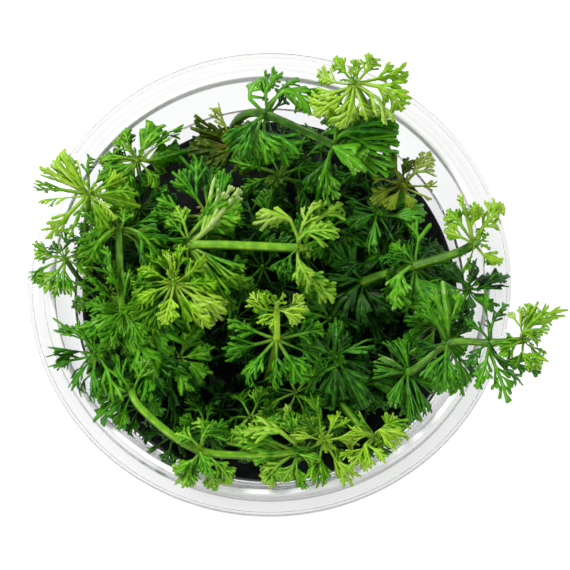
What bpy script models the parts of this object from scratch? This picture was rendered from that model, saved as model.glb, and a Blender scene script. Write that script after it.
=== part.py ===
"""Ambulia, a water plant with whorls of divided leaves, grown in a clear plastic cup.

The cup stands on the origin with its axis along +Z. Twenty-three stems rise from the black growth
medium, and each node of a stem carries a whorl of leaves. Sizes in the tables are millimetres and
angles are degrees; headings are measured from +X towards +Y, seen from above.
"""
from collections import namedtuple
from math import atan2, cos, radians, sin, tau

import bmesh
import bpy
from mathutils import Vector
from mathutils.bvhtree import BVHTree

MM = 0.001
GAP = 0.3

# Cup
CUP_SEGMENTS = 32
RIM_RADIUS = 50.0
RIM_HEIGHT = 45.0
MOUTH_RADIUS = 44.5
SHOULDER_RADIUS = 40.9
SHOULDER_HEIGHT = 35.4
SHOULDER_STEP = 0.8
FLOOR_RADIUS = 34.6
FLOOR_THICKNESS = 1.2
WALL = 0.9
BASE_CHAMFER = 0.6
FLANGE_STEP_RADIUS = 47.0
FLANGE_STEP = 0.4
SKIRT_DROP = 1.8

# Growth medium
MEDIUM_TOP = 31.0
MEDIUM_EDGE = 0.6

# Stems and the rings of their nodes
STEM_SIDES_SETTING = 1
POINT_SPACING = 5.5
FOOT_LENGTH = 0.8
STEM_TIP = 1.5
RING_HEIGHT = 1.0
RING_WALL = 0.5
FACING_WEIGHT = 4.0
LARGEST_SIDE = 72.0
SMALLEST_SIDE = 24.0

# Leaves
LEAF_THICKNESS = 0.45
LEAF_STEPS = 12
ROOT_SHARE = 0.3
ROOT_PULL = 1.6
CLIMB_VARIATION = 22.0
GOLDEN_RATIO = 0.618
USUAL_LENGTH = 9.0
CLEARANCE = 0.12
LIFTS = (0, 7, -7, 14, -14, 21, -21, 29, -29, 38, -38)
TURNS = (0, 8, -8, 16, -16)
REACHES = (1.0, 0.8, 0.6)

# Width of a leaf along its length: (share of the length, width) for a leaf of the usual length
FORMS = {
    "feather": ((0.16, 0.6), (0.66, 3.1), (1.0, 1.0)),
    "fan": ((0.2, 0.8), (0.78, 3.6), (1.0, 2.4)),
    "blade": ((0.2, 0.7), (0.68, 2.2), (1.0, 0.8)),
    "thread": ((0.25, 0.6), (0.7, 1.1), (1.0, 0.5)),
    "curl": ((0.16, 0.6), (0.38, 0.9), (0.6, 1.8), (0.8, 2.0), (1.0, 0.9)),
}

# Base colours by tone, as linear red, green and blue
TONES = {
    "lime": (0.27, 0.48, 0.04),
    "bright": (0.12, 0.36, 0.03),
    "green": (0.06, 0.22, 0.025),
    "dark": (0.02, 0.09, 0.02),
    "olive": (0.17, 0.21, 0.03),
}

Whorl = namedtuple("Whorl", "node tone form climb droop leaves")
Shoot = namedtuple("Shoot", "radius route whorls")
Leaf = namedtuple("Leaf", "heading length sweep form", defaults=(0, None))

# Each shoot has its stem's radius, the points its stem runs through, and its whorls. A whorl sits
# at a point of the route, counted from 0. Its leaves rise at the climb angle and sink by the droop
# angle from root to tip. A leaf is its heading, its length, how far its heading turns, its form.
SHOOTS = {
    "crown": Shoot(0.9, ((-9, 35, 32.1), (-6, 35.5, 45), (-0.5, 33.5, 52), (13.5, 26.5, 53)), (
        Whorl(2, "green", "feather", 30, 62, (
            (178, 12.5, -215, "curl"), (96, 9, -60, "curl"), (62, 9.5, -20, "curl"),
            (38, 12.5, -120, "curl"), (238, 11.5), (263, 10), (284, 10.5), (306, 11),
        )),
        Whorl(3, "green", "fan", 8, 24, (
            (12, 13.5), (-2, 13), (-17, 13), (-36, 10), (270, 11.5, 0, "feather"), (38, 8.5),
        )),
    )),
    "umbrella": Shoot(0.7, ((25, 26, 32.1), (23.5, 31, 45), (17.5, 38, 59)), (
        Whorl(2, "lime", "feather", 34, 96, (
            (152, 8.5), (126, 7), (92, 5), (60, 6.5), (22, 11, -40), (-14, 12, -40), (-42, 11),
            (190, 9.5, 30), (214, 10), (256, 9.5), (290, 8),
        )),
    )),
    "russet": Shoot(0.5, ((25, 16.5, 32.1), (26.5, 18, 41), (27.5, 19.5, 48)), (
        Whorl(2, "olive", "blade", 34, 60, (
            (108, 7), (52, 8.5, 0, "feather"), (2, 6, 0, "thread"), (-24, 5.5, 0, "thread"),
            (163, 5, 0, "thread"), (212, 6), (238, 5), (-62, 4.5),
        )),
    )),
    "reach": Shoot(0.9, (
        (12, -3, 32.1), (19.5, 0, 43), (30, 1.5, 49.5), (38.5, 3, 54), (42, 4, 57),
    ), (
        Whorl(1, "dark", "feather", 34, 80, (
            (58, 12, -25), (104, 10), (148, 10, -30), (172, 8), (228, 11), (263, 10), (-28, 8.5),
        )),
        Whorl(2, "green", "feather", 24, 64, (
            (50, 11.5, 110, "curl"), (236, 11, 30), (262, 9), (-66, 11.5, 0, "fan"), (-30, 6.5), (140, 6),
        )),
        Whorl(4, "lime", "feather", 32, 62, (
            (99, 9.5), (72, 7), (48, 10), (160, 6), (-18, 5.5, 0, "blade"), (250, 5.5, 0, "blade"),
            (128, 7.5),
        )),
    )),
    "inner": Shoot(0.55, ((19, 9, 32.1), (21, 12, 40), (22.5, 14, 46)), (
        Whorl(2, "dark", "feather", 30, 66, (
            (78, 6), (38, 8, 0, "blade"), (5, 9, 0, "blade"), (-62, 8, 0, "thread"), (260, 8, 0, "fan"),
            (210, 6), (150, 6.5),
        )),
    )),
    "side": Shoot(0.6, ((32, -8, 32.1), (37, -6.5, 40), (41, -3, 47.5)), (
        Whorl(2, "dark", "feather", 30, 62, (
            (27, 8.5), (-34, 6.5), (238, 6.5), (176, 6), (130, 6.5), (72, 6.5),
        )),
    )),
    "spray": Shoot(0.75, (
        (23, -16, 32.1), (28.5, -20.5, 47), (36.5, -15.5, 51), (45, -16, 53.5), (51.5, -16.5, 57),
    ), (
        Whorl(1, "dark", "fan", 30, 70, (
            (104, 7), (148, 6), (190, 6.5), (248, 7.5), (276, 9.5), (-52, 8), (-16, 7),
        )),
        Whorl(2, "green", "fan", 18, 38, (
            (97, 12), (82, 10.5), (114, 9.5), (268, 11), (284, 9.5), (252, 9.5), (60, 7, 0, "feather"),
        )),
        Whorl(3, "green", "feather", 28, 64, (
            (228, 7.5), (292, 12), (-12, 12), (94, 9.5), (256, 9.5), (-44, 9.5), (140, 6.5), (58, 7.5),
        )),
        Whorl(4, "lime", "feather", 34, 68, (
            (24, 8.5), (4, 7.5), (58, 7.5), (92, 5.5), (-36, 6), (216, 5.5),
        )),
    )),
    "lime_right": Shoot(0.7, ((11.5, -21, 32.1), (14.5, -26, 43.5), (18.5, -32.5, 49), (21.5, -35.5, 51)), (
        Whorl(3, "lime", "feather", 36, 70, (
            (64, 5.5), (18, 7), (-36, 7), (-78, 7), (236, 6.5), (186, 5),
        )),
    )),
    "lime_front": Shoot(0.65, ((8.5, -29, 32.1), (9.5, -33, 43), (11, -36, 51)), (
        Whorl(2, "lime", "feather", 34, 66, (
            (62, 6), (102, 9), (-58, 9.5), (-84, 8.5), (172, 5.5), (-8, 6),
        )),
    )),
    "front": Shoot(0.8, (
        (-22, -17, 32.1), (-28, -25, 47.5), (-22, -32.5, 49), (-14, -37.5, 49), (-4, -38.5, 49),
        (5.5, -38, 49.5),
    ), (
        Whorl(1, "green", "feather", 30, 70, (
            (223, 8.5, 0, "fan"), (168, 7.5), (122, 7.5), (62, 7), (-50, 6.5), (254, 6.5),
        )),
        Whorl(3, "bright", "feather", 40, 110, (
            (20, 7.5), (64, 7), (108, 7), (152, 7.5), (205, 7.5), (248, 7), (292, 7),
        )),
        Whorl(5, "bright", "feather", 24, 50, (
            (166, 14), (238, 6), (284, 6), (-16, 6), (66, 6.5), (118, 6),
        )),
    )),
    "left": Shoot(0.8, ((-27, -13, 32.1), (-30, -8, 48), (-31, 9, 51)), (
        Whorl(1, "green", "feather", 28, 64, (
            (213, 8.5), (-8, 13), (246, 8), (-58, 8), (152, 7), (32, 7),
        )),
        Whorl(2, "bright", "feather", 28, 66, (
            (236, 11), (205, 7), (-46, 11.5), (40, 7), (150, 6.5), (86, 6.5),
        )),
    )),
    "plume": Shoot(0.7, ((-17, -9, 32.1), (-18.5, -6, 43), (-19.5, -3.5, 54)), (
        Whorl(2, "lime", "feather", 34, 68, (
            (83, 7.5), (2, 7.5), (-55, 11), (-102, 8), (205, 7.5), (150, 7), (42, 7),
        )),
    )),
    "beam": Shoot(0.95, ((-23, 3, 32.1), (-20.5, 4.5, 43), (-16.5, 5.5, 51), (6, 4, 54)), (
        Whorl(2, "bright", "feather", 16, 36, (
            (38, 14.5, 0, "fan"), (20, 13), (-44, 13.5), (-66, 10.5), (112, 7),
        )),
        Whorl(3, "bright", "feather", 20, 46, (
            (41, 14), (10, 10), (-40, 12), (-66, 8.5), (84, 12.5, 175, "curl"), (62, 9.5),
        )),
    )),
    "veil": Shoot(0.6, ((-34, 3.5, 32.1), (-38, 7.5, 43), (-37, 15, 56)), (
        Whorl(2, "lime", "feather", 30, 84, (
            (168, 11), (186, 9.5), (226, 12.5), (246, 9.5), (110, 9.5), (92, 9), (8, 9.5), (46, 7.5),
            (-42, 7),
        )),
    )),
    "corner": Shoot(0.5, ((-25, 21, 32.1), (-27, 23, 40), (-27.5, 25, 48)), (
        Whorl(2, "bright", "feather", 30, 62, (
            (76, 8), (106, 6.5), (18, 10, 0, "fan"), (40, 10.5), (188, 6.5), (-54, 6.5), (236, 6.5),
        )),
    )),
    "edge": Shoot(0.5, ((-34.5, -2, 32.1), (-39.5, 1, 42), (-42, 3, 50)), (
        Whorl(2, "bright", "feather", 30, 62, (
            (201, 7.5), (225, 7), (160, 6), (98, 5.5), (-34, 6), (268, 6.5),
        )),
    )),
    "rim": Shoot(0.6, ((-30.5, -17, 32.1), (-33.5, -17.5, 40), (-35.5, -17, 48.5)), (
        Whorl(2, "green", "feather", 30, 62, (
            (142, 9), (170, 7.5), (194, 7.5), (262, 9), (285, 9.5), (60, 6.5), (228, 7.5),
        )),
    )),
    "centre": Shoot(0.7, ((-1, -19, 32.1), (0.5, -17, 43), (1.5, -15, 53), (1.5, -10, 57.5)), (
        Whorl(2, "bright", "feather", 32, 80, (
            (200, 10), (236, 10.5), (268, 10), (302, 10), (338, 9.5), (18, 9), (152, 9), (110, 7.5),
        )),
        Whorl(3, "lime", "blade", 46, 80, (
            (40, 5), (96, 5), (150, 5), (215, 5), (-30, 5),
        )),
    )),
    "arrow": Shoot(0.6, ((-11, 17, 32.1), (-12.5, 15, 42), (-12.5, 12, 50.5)), (
        Whorl(2, "bright", "fan", 22, 44, (
            (103, 13), (128, 10.5), (80, 7.5), (176, 10.5), (58, 9.5, 40, "blade"), (18, 5.5),
        )),
    )),
    "fold": Shoot(0.65, ((11, -12, 32.1), (12.5, -15, 41), (13.5, -17.5, 48.5)), (
        Whorl(2, "dark", "fan", 28, 66, (
            (-64, 11), (89, 7), (26, 7.5), (166, 7), (234, 8.5), (268, 9.5),
        )),
    )),
    "bundle": Shoot(0.5, ((-5, 23, 32.1), (-5.5, 27, 38), (-7.5, 30, 43.5)), (
        Whorl(2, "olive", "fan", 14, 34, (
            (174, 9.5), (160, 9), (188, 8.5), (214, 7), (236, 6),
        )),
    )),
    "hook": Shoot(0.55, ((6, 28.5, 32.1), (4.5, 27, 40), (2, 22.5, 45)), (
        Whorl(2, "bright", "blade", 24, 56, (
            (226, 6, 0, "fan"), (170, 10), (204, 7), (-22, 9), (12, 8), (64, 8, 0, "feather"),
        )),
    )),
    "shade": Shoot(0.5, ((-0.5, 8, 32.1), (-1.5, 9.5, 37), (-2.5, 11.5, 42.5)), (
        Whorl(2, "dark", "feather", 26, 50, (
            (104, 9.5), (74, 8.5), (145, 6), (6, 6), (236, 5.5), (-60, 6),
        )),
    )),
}


def clear_scene():
    for item in list(bpy.data.objects):
        bpy.data.objects.remove(item, do_unlink=True)


def make_material(name, colour, roughness, metallic=0.0, transmission=0.0):
    material = bpy.data.materials.new(name)
    material.use_nodes = True
    shader = material.node_tree.nodes["Principled BSDF"]
    shader.inputs["Base Color"].default_value = (*colour, 1.0)
    shader.inputs["Roughness"].default_value = roughness
    shader.inputs["Metallic"].default_value = metallic
    shader.inputs["Transmission Weight"].default_value = transmission
    return material


def add_object(name, bm, material, smooth_angle):
    bmesh.ops.scale(bm, vec=(MM, MM, MM), verts=bm.verts)
    bmesh.ops.recalc_face_normals(bm, faces=bm.faces)
    mesh = bpy.data.meshes.new(name)
    bm.to_mesh(mesh)
    bm.free()
    mesh.materials.append(material)
    mesh.shade_smooth()
    mesh.set_sharp_from_angle(angle=radians(smooth_angle))
    piece = bpy.data.objects.new(name, mesh)
    bpy.context.collection.objects.link(piece)
    return piece


def turned_solid(name, profile, material):
    """Spin a profile of (radius, height) points, which starts and ends on the axis."""
    bm = bmesh.new()
    points = [bm.verts.new((radius, 0, height)) for radius, height in profile]
    edges = [bm.edges.new(pair) for pair in zip(points, points[1:])]
    bmesh.ops.spin(
        bm, geom=points + edges, axis=(0, 0, 1), angle=tau, steps=CUP_SEGMENTS, use_merge=True,
    )
    bmesh.ops.remove_doubles(bm, verts=bm.verts, dist=0.001)
    return add_object(name, bm, material, 30)


def wall_radius(height):
    """Inner radius of the wall below the shoulder."""
    top = SHOULDER_RADIUS - SHOULDER_STEP
    share = (height - FLOOR_THICKNESS) / (SHOULDER_HEIGHT - FLOOR_THICKNESS)
    return FLOOR_RADIUS + (top - FLOOR_RADIUS) * share


def make_cup(material):
    outside = [
        (0, 0),
        (FLOOR_RADIUS + WALL - BASE_CHAMFER, 0),
        (FLOOR_RADIUS + WALL, BASE_CHAMFER),
        (SHOULDER_RADIUS - SHOULDER_STEP + WALL, SHOULDER_HEIGHT - SHOULDER_STEP / 2),
        (SHOULDER_RADIUS + WALL, SHOULDER_HEIGHT),
        (MOUTH_RADIUS + WALL, RIM_HEIGHT - WALL),
        (RIM_RADIUS - WALL, RIM_HEIGHT - WALL - FLANGE_STEP),
        (RIM_RADIUS - WALL, RIM_HEIGHT - SKIRT_DROP),
    ]
    inside = [
        (RIM_RADIUS, RIM_HEIGHT - SKIRT_DROP),
        (RIM_RADIUS, RIM_HEIGHT - FLANGE_STEP),
        (FLANGE_STEP_RADIUS, RIM_HEIGHT - FLANGE_STEP),
        (FLANGE_STEP_RADIUS - FLANGE_STEP, RIM_HEIGHT),
        (MOUTH_RADIUS, RIM_HEIGHT),
        (SHOULDER_RADIUS, SHOULDER_HEIGHT + SHOULDER_STEP / 2),
        (SHOULDER_RADIUS - SHOULDER_STEP, SHOULDER_HEIGHT),
        (FLOOR_RADIUS, FLOOR_THICKNESS),
        (0, FLOOR_THICKNESS),
    ]
    return turned_solid("cup", outside + inside, material)


def make_medium(material):
    floor = FLOOR_THICKNESS + GAP
    profile = [
        (0, floor),
        (wall_radius(floor) - GAP, floor),
        (wall_radius(MEDIUM_TOP) - GAP, MEDIUM_TOP - MEDIUM_EDGE),
        (wall_radius(MEDIUM_TOP) - GAP - MEDIUM_EDGE, MEDIUM_TOP),
        (0, MEDIUM_TOP),
    ]
    return turned_solid("growth_medium", profile, material)


def curve_through(before, start, end, after, share):
    """Point on the smooth curve from start to end that has before and after as neighbours."""
    return 0.5 * (
        2 * start
        + (end - before) * share
        + (2 * before - 5 * start + 4 * end - after) * share ** 2
        + (3 * start - before - 3 * end + after) * share ** 3
    )


def full_route(shoot):
    """The route's points, with one more where the growing tip ends past the last whorl."""
    points = [Vector(point) for point in shoot.route]
    ahead = (points[-1] - points[-2]).normalized()
    return points + [points[-1] + ahead * STEM_TIP]


def stem_line(shoot):
    """Points along the stem, which leaves the medium straight up."""
    route = full_route(shoot)
    padded = [route[0]] + route + [route[-1]]
    line = [route[0] - Vector((0, 0, FOOT_LENGTH))]
    for before, start, end, after in zip(padded, padded[1:], padded[2:], padded[3:]):
        steps = max(1, round((end - start).length / POINT_SPACING))
        line += [curve_through(before, start, end, after, step / steps) for step in range(steps)]
    return line + [route[-1]]


def make_stem(name, shoot, material):
    curve = bpy.data.curves.new(name, "CURVE")
    curve.dimensions = "3D"
    curve.bevel_depth = shoot.radius * MM
    curve.bevel_resolution = STEM_SIDES_SETTING
    curve.render_resolution_u = 0
    curve.use_fill_caps = True
    line = stem_line(shoot)
    spline = curve.splines.new("POLY")
    spline.points.add(len(line) - 1)
    for point, place in zip(spline.points, line):
        point.co = (*(place * MM), 1.0)
        point.radius = 1.0
    spline.use_smooth = True
    curve.materials.append(material)
    piece = bpy.data.objects.new(name, curve)
    bpy.context.collection.objects.link(piece)
    return piece


def node_axes(shoot, index):
    """The node's centre, the stem's direction there and two directions across it."""
    route = full_route(shoot)
    along = (route[index + 1] - route[index - 1]).normalized()
    across = Vector((1, 0, 0)) - along * along.x
    across.normalize()
    return route[index], along, across, along.cross(across)


def leaf_direction(heading, pitch):
    yaw = radians(heading)
    rise = radians(pitch)
    return Vector((cos(yaw) * cos(rise), sin(yaw) * cos(rise), sin(rise)))


def spread_angles(angles):
    """Move angles apart, in their order, until each side of the ring is wide enough."""
    count = len(angles)
    smallest = radians(min(SMALLEST_SIDE, 0.9 * 360 / count))
    spread = list(angles)
    for _ in range(60):
        for first in range(count):
            second = (first + 1) % count
            turn = tau if second == 0 else 0
            lack = smallest - (spread[second] + turn - spread[first])
            if lack > 0:
                spread[first] -= lack / 2
                spread[second] += lack / 2
    return spread


def place_on_ring(shoot, whorl):
    """Leaves in their order around the node, each with its climb and its angle on the ring."""
    _, _, across, upward = node_axes(shoot, whorl.node)
    placed = []
    for count, values in enumerate(whorl.leaves):
        leaf = Leaf(*values)
        climb = whorl.climb + CLIMB_VARIATION * ((count * GOLDEN_RATIO) % 1 - 0.5)
        ahead = leaf_direction(leaf.heading, climb)
        angle = atan2(ahead.dot(upward), ahead.dot(across))
        placed.append((angle, climb, leaf))
    placed.sort(key=lambda entry: entry[0])
    angles = spread_angles([entry[0] for entry in placed])
    return [(angle, climb, leaf) for angle, (_, climb, leaf) in zip(angles, placed)]


def ring_corners(angles):
    """Corner angles of the ring: halfway between leaves, with more where leaves are far apart."""
    corners = []
    for angle, following in zip(angles, angles[1:] + [angles[0] + tau]):
        width = following - angle
        if width <= radians(LARGEST_SIDE):
            corners.append(angle + width / 2)
        else:
            half = radians(LARGEST_SIDE) / 2
            rest = width - 2 * half
            sides = max(1, round(rest / radians(LARGEST_SIDE)))
            corners += [angle + half + rest * step / sides for step in range(sides + 1)]
    return corners


def make_ring(bm, shoot, whorl, corners):
    """A many-sided ring around the stem's node, made by extruding a circle inward and along."""
    centre, along, across, upward = node_axes(shoot, whorl.node)
    narrowest = cos(radians(LARGEST_SIDE) / 2)
    inner = (shoot.radius + GAP) / narrowest
    outer = inner / narrowest + RING_WALL
    circle = bmesh.ops.create_circle(bm, segments=len(corners), radius=outer)["verts"]
    for vertex, angle in zip(circle, corners):
        ray = across * cos(angle) + upward * sin(angle)
        vertex.co = centre - along * RING_HEIGHT / 2 + ray * outer
    edges = list({edge for vertex in circle for edge in vertex.link_edges})
    grown = bmesh.ops.extrude_edge_only(bm, edges=edges)["geom"]
    base = centre - along * RING_HEIGHT / 2
    for vertex in (item for item in grown if isinstance(item, bmesh.types.BMVert)):
        vertex.co = base + (vertex.co - base) * inner / outer
    faces = [item for item in grown if isinstance(item, bmesh.types.BMFace)]
    raised = bmesh.ops.extrude_face_region(bm, geom=faces)["geom"]
    tops = [item for item in raised if isinstance(item, bmesh.types.BMVert)]
    bmesh.ops.translate(bm, verts=tops, vec=along * RING_HEIGHT)
    bmesh.ops.recalc_face_normals(bm, faces=bm.faces)


def outer_side(bm, shoot, whorl, angle):
    """The ring's outer face that looks along the given angle."""
    centre, _, across, upward = node_axes(shoot, whorl.node)
    ray = across * cos(angle) + upward * sin(angle)
    return max(bm.faces, key=lambda face: (
        FACING_WEIGHT * face.normal.dot(ray) + (face.calc_center_median() - centre).dot(ray)
    ))


def leaf_line(root, outward, leaf, climb, droop, turn, reach):
    """Points of a leaf's centre line with the direction across the leaf at each."""
    point = root.copy()
    line = [(point.copy(), leaf_direction(leaf.heading + turn + 90, 0), climb)]
    for step in range(LEAF_STEPS):
        share = (step + 0.5) / LEAF_STEPS
        heading = leaf.heading + turn + leaf.sweep * share
        pitch = climb - droop * share
        pull = ROOT_PULL * max(0.0, 1 - share / ROOT_SHARE)
        ahead = (leaf_direction(heading, pitch) + outward * pull).normalized()
        point = point + ahead * leaf.length * reach / LEAF_STEPS
        line.append((point.copy(), leaf_direction(heading + 90, 0), pitch))
    return line


def leaf_sections(line, leaf, form, margin=0.0):
    """Four corners at each section of a leaf, from the neck at its root to its tip."""
    sections = []
    for share, width in FORMS[form]:
        place, side, pitch = line[round(share * LEAF_STEPS)]
        level = Vector((side.y, -side.x, 0))
        ahead = level * cos(radians(pitch)) + Vector((0, 0, sin(radians(pitch))))
        across = side * (width * leaf.length / USUAL_LENGTH / 2 + margin)
        rise = ahead.cross(side) * (LEAF_THICKNESS / 2 + margin)
        sections.append([
            place - across - rise, place + across - rise, place + across + rise, place - across + rise,
        ])
    return sections


def tree_of_sections(sections):
    points = [corner * MM for corners in sections for corner in corners]
    last = 4 * (len(sections) - 1)
    faces = [(0, 1, 2, 3), (last, last + 1, last + 2, last + 3)]
    for first in range(0, last, 4):
        for side in range(4):
            following = (side + 1) % 4
            faces.append((first + side, first + following, first + following + 4, first + side + 4))
    return BVHTree.FromPolygons(points, faces)


def tree_of_ring(bm):
    points = [vertex.co * MM for vertex in bm.verts]
    faces = [[vertex.index for vertex in face.verts] for face in bm.faces]
    return BVHTree.FromPolygons(points, faces)


def in_step(corners, others):
    """The corners, starting from the one that makes them match the others best."""
    middle = sum(corners, Vector()) / 4
    target = sum(others, Vector()) / 4
    orders = [corners[first:] + corners[:first] for first in range(4)]
    return min(orders, key=lambda order: sum(
        (corner - middle - other + target).length_squared for corner, other in zip(order, others)
    ))


def settled_line(name, root, outward, leaf, form, climb, droop, taken):
    """The leaf's line, lifted, turned or shortened until it is clear of all that is there already.

    The neck may touch other parts of its own whorl, because they share the ring.
    """
    start = sum(root, Vector()) / 4
    for reach in REACHES:
        for turn in TURNS:
            for lift in LIFTS:
                line = leaf_line(start, outward, leaf, climb + lift, droop, turn, reach)
                sections = leaf_sections(line, leaf, form, CLEARANCE)
                blade = tree_of_sections(sections)
                neck = tree_of_sections([in_step(root, sections[0]), sections[0]])
                if not any(
                    blade.overlap(tree) or owner != name and neck.overlap(tree)
                    for tree, owner in taken
                ):
                    return line
    raise RuntimeError(f"{name} has no room for its leaf at heading {leaf.heading}")


def grow_leaf(bm, face, sections):
    """Extrude a side of the ring through the leaf's sections, and close the tip to an edge."""
    for corners in sections:
        face = bmesh.ops.extrude_discrete_faces(bm, faces=[face])["faces"][0]
        for vertex, corner in zip(face.verts, in_step(corners, [vertex.co for vertex in face.verts])):
            vertex.co = corner
    bottom_left, bottom_right, top_right, top_left = sections[-1]
    middles = [(bottom_left + top_left) / 2, (bottom_right + top_right) / 2]
    pairs = [sorted(face.verts, key=lambda vertex: (vertex.co - middle).length)[:2] for middle in middles]
    for pair, middle in zip(pairs, middles):
        bmesh.ops.pointmerge(bm, verts=pair, merge_co=middle)


def make_rings():
    """One ring for each whorl, with its leaves' places, before any leaf is grown."""
    rings = []
    for name, shoot in SHOOTS.items():
        for count, whorl in enumerate(shoot.whorls, start=1):
            places = place_on_ring(shoot, whorl)
            bm = bmesh.new()
            make_ring(bm, shoot, whorl, ring_corners([angle for angle, _, _ in places]))
            rings.append((f"leaves_{name}_{count}", shoot, whorl, places, bm))
    return rings


def make_leaves(rings, taken):
    """Grow the leaves of the highest whorls first, so that lower ones make room for them."""
    for name, shoot, whorl, places, bm in sorted(rings, key=lambda ring: -ring[1].route[ring[2].node][2]):
        sides = [(outer_side(bm, shoot, whorl, angle), climb, leaf) for angle, climb, leaf in places]
        for face, climb, leaf in sides:
            root = [vertex.co.copy() for vertex in face.verts]
            outward = face.normal.copy()
            form = leaf.form or whorl.form
            line = settled_line(name, root, outward, leaf, form, climb, whorl.droop, taken)
            sections = leaf_sections(line, leaf, form)
            taken.append((tree_of_sections([in_step(root, sections[0])] + sections), name))
            grow_leaf(bm, face, sections)
        add_object(name, bm, make_material(name, TONES[whorl.tone], 0.4), 50)


def main():
    clear_scene()
    make_cup(make_material("cup", (0.92, 0.94, 0.95), 0.05, transmission=1.0))
    make_medium(make_material("growth_medium", (0.012, 0.017, 0.018), 0.35))
    for name, shoot in SHOOTS.items():
        make_stem(f"stem_{name}", shoot, make_material(f"stem_{name}", (0.12, 0.3, 0.03), 0.35))
    bpy.context.view_layer.update()
    graph = bpy.context.evaluated_depsgraph_get()
    taken = [(BVHTree.FromObject(piece, graph), piece.name) for piece in bpy.context.collection.objects]
    rings = make_rings()
    taken += [(tree_of_ring(bm), name) for name, _, _, _, bm in rings]
    make_leaves(rings, taken)


main()
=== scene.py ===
"""Ambulia in a clear plastic cup, dressed around its solids and set on a light table.

The cup, the growth medium, every stem and every whorl of leaves replace the solid of the same
name. A leaf follows the line that its solid follows. More leaves on some whorls, the buds, the
middle shoots, the undergrowth and a few dried flecks are only here. Sizes are millimetres and
angles are degrees unless a name says otherwise.
"""
import random
from collections import namedtuple
from math import atan2, cos, degrees, exp, pi, radians, sin, tau

import bmesh
import bpy
import numpy as np
from bpy.props import FloatProperty, FloatVectorProperty, IntProperty, PointerProperty
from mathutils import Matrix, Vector, noise
from mathutils.kdtree import KDTree


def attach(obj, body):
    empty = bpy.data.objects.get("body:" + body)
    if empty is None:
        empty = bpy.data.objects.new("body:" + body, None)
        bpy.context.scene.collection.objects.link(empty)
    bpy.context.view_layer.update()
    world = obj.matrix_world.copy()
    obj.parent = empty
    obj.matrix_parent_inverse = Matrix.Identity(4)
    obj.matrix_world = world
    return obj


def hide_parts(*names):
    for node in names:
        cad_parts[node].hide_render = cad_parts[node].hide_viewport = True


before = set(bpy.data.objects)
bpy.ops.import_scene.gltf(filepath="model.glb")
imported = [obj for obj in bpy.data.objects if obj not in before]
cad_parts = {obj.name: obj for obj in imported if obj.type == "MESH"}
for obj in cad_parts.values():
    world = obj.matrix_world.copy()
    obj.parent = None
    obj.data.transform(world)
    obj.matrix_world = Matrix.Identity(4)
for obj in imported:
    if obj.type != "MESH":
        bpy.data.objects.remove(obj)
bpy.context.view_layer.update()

bl_info = {
    "name": "Potted ambulia",
    "version": (1, 0, 0),
    "blender": (4, 5, 0),
    "location": "3D View > Sidebar > Ambulia",
    "description": "Grows ambulia in a clear cup around its solids, and sets up a studio stage",
    "category": "Object",
}

MM = 0.001
BODY = "root"
MERGE_DISTANCE = 0.001
SMALLEST_STEP = 1e-6

# Cup
RIM_RADIUS = 50.0
RIM_HEIGHT = 45.0
MOUTH_RADIUS = 44.5
SHOULDER_RADIUS = 40.9
SHOULDER_HEIGHT = 35.4
SHOULDER_STEP = 0.6
FLOOR_RADIUS = 34.6
FLOOR_THICKNESS = 1.2
WALL = 0.9
BASE_CHAMFER = 0.6
FLANGE_STEP_RADIUS = 47.0
FLANGE_STEP = 0.4
SKIRT_DROP = 1.8
SHARP_ANGLE = 20

# The rounded lip where the wall meets the flange. Its plastic is milky, down to a drop below the rim
# and out from a reach inside the mouth. A haze is a range of roughness, and a share is how much of
# the light passes through. The slots hold the cup's second and third material.
LIP_ROUNDING = 0.45
LIP_DROP = 2.6
LIP_STEPS = 5
LIP_REACH = 0.5
MILKY_DROP = 3.0
MILKY_REACH = 1.5
CLEAR_HAZE = (0.0, 0.05)
LIP_HAZE = (0.2, 0.35)
CLEAR_SHARE = 0.95
LIP_SHARE = 0.2
MILKY_SLOT = 1
FLANGE_SLOT = 2

# Growth medium. Its contact is how far it reaches into the wall, as wet medium touches plastic. Its
# edges are chamfered, with a soft step at the end of each chamfer.
MEDIUM_TOP = 31.0
TOP_MARGIN = 0.01
MEDIUM_EDGE = 0.6
MEDIUM_CONTACT = 0.12
MEDIUM_RINGS = 44
SOFT_STEP = 0.1
LUMP_SIZE = 5.5
LUMP_HEIGHT = 0.45
GRAIN_SIZE = 1.4
GRAIN_HEIGHT = 0.14

# Stems and nodes. A gap parts the solids' rings from their stems. A leaf's stalk starts inside the
# stem, at a share of its radius, and the growing tip ends in a point past its last ring.
STEM_LAYERS = ("ridge", "tint")
GAP = 0.3
STALK_START = 0.7
POINT_REACH = 0.6
FOOT_LENGTH = 0.8
ROOTED_DEPTH = 0.5
STEM_TIP = 1.5
STEM_SPACING = 0.8
STEM_SIDES = 16
STEM_RIDGES = 4
RIDGE_DEPTH = 0.05
NODE_SWELL = 0.28
NODE_REACH = 1.1
TAPER_LENGTH = 3.0
TIP_SHARE = 0.45
STEM_FADE = 14.0
RING_WALL = 0.5
FACING_WEIGHT = 4.0
LARGEST_SIDE = 72.0
SMALLEST_SIDE = 24.0
CROWDED_SHARE = 0.9
SPREAD_PASSES = 60

# Lines that the leaves follow, as in the solids, where a leaf that had to clear its neighbours was
# lifted, turned and shortened by one of these steps
LEAF_STEPS = 12
ROOT_SHARE = 0.3
ROOT_PULL = 1.6
CLIMB_VARIATION = 22.0
GOLDEN_RATIO = 0.618
USUAL_LENGTH = 9.0
LIFTS = (0, 7, -7, 14, -14, 21, -21, 29, -29, 38, -38)
TURNS = (0, 8, -8, 16, -16)
REACHES = (1.0, 0.8, 0.6)
TIP_WIDTHS = {"feather": 1.0, "fan": 2.4, "blade": 0.8, "thread": 0.5, "curl": 0.9}
SAME_PLACE = 0.02

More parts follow.
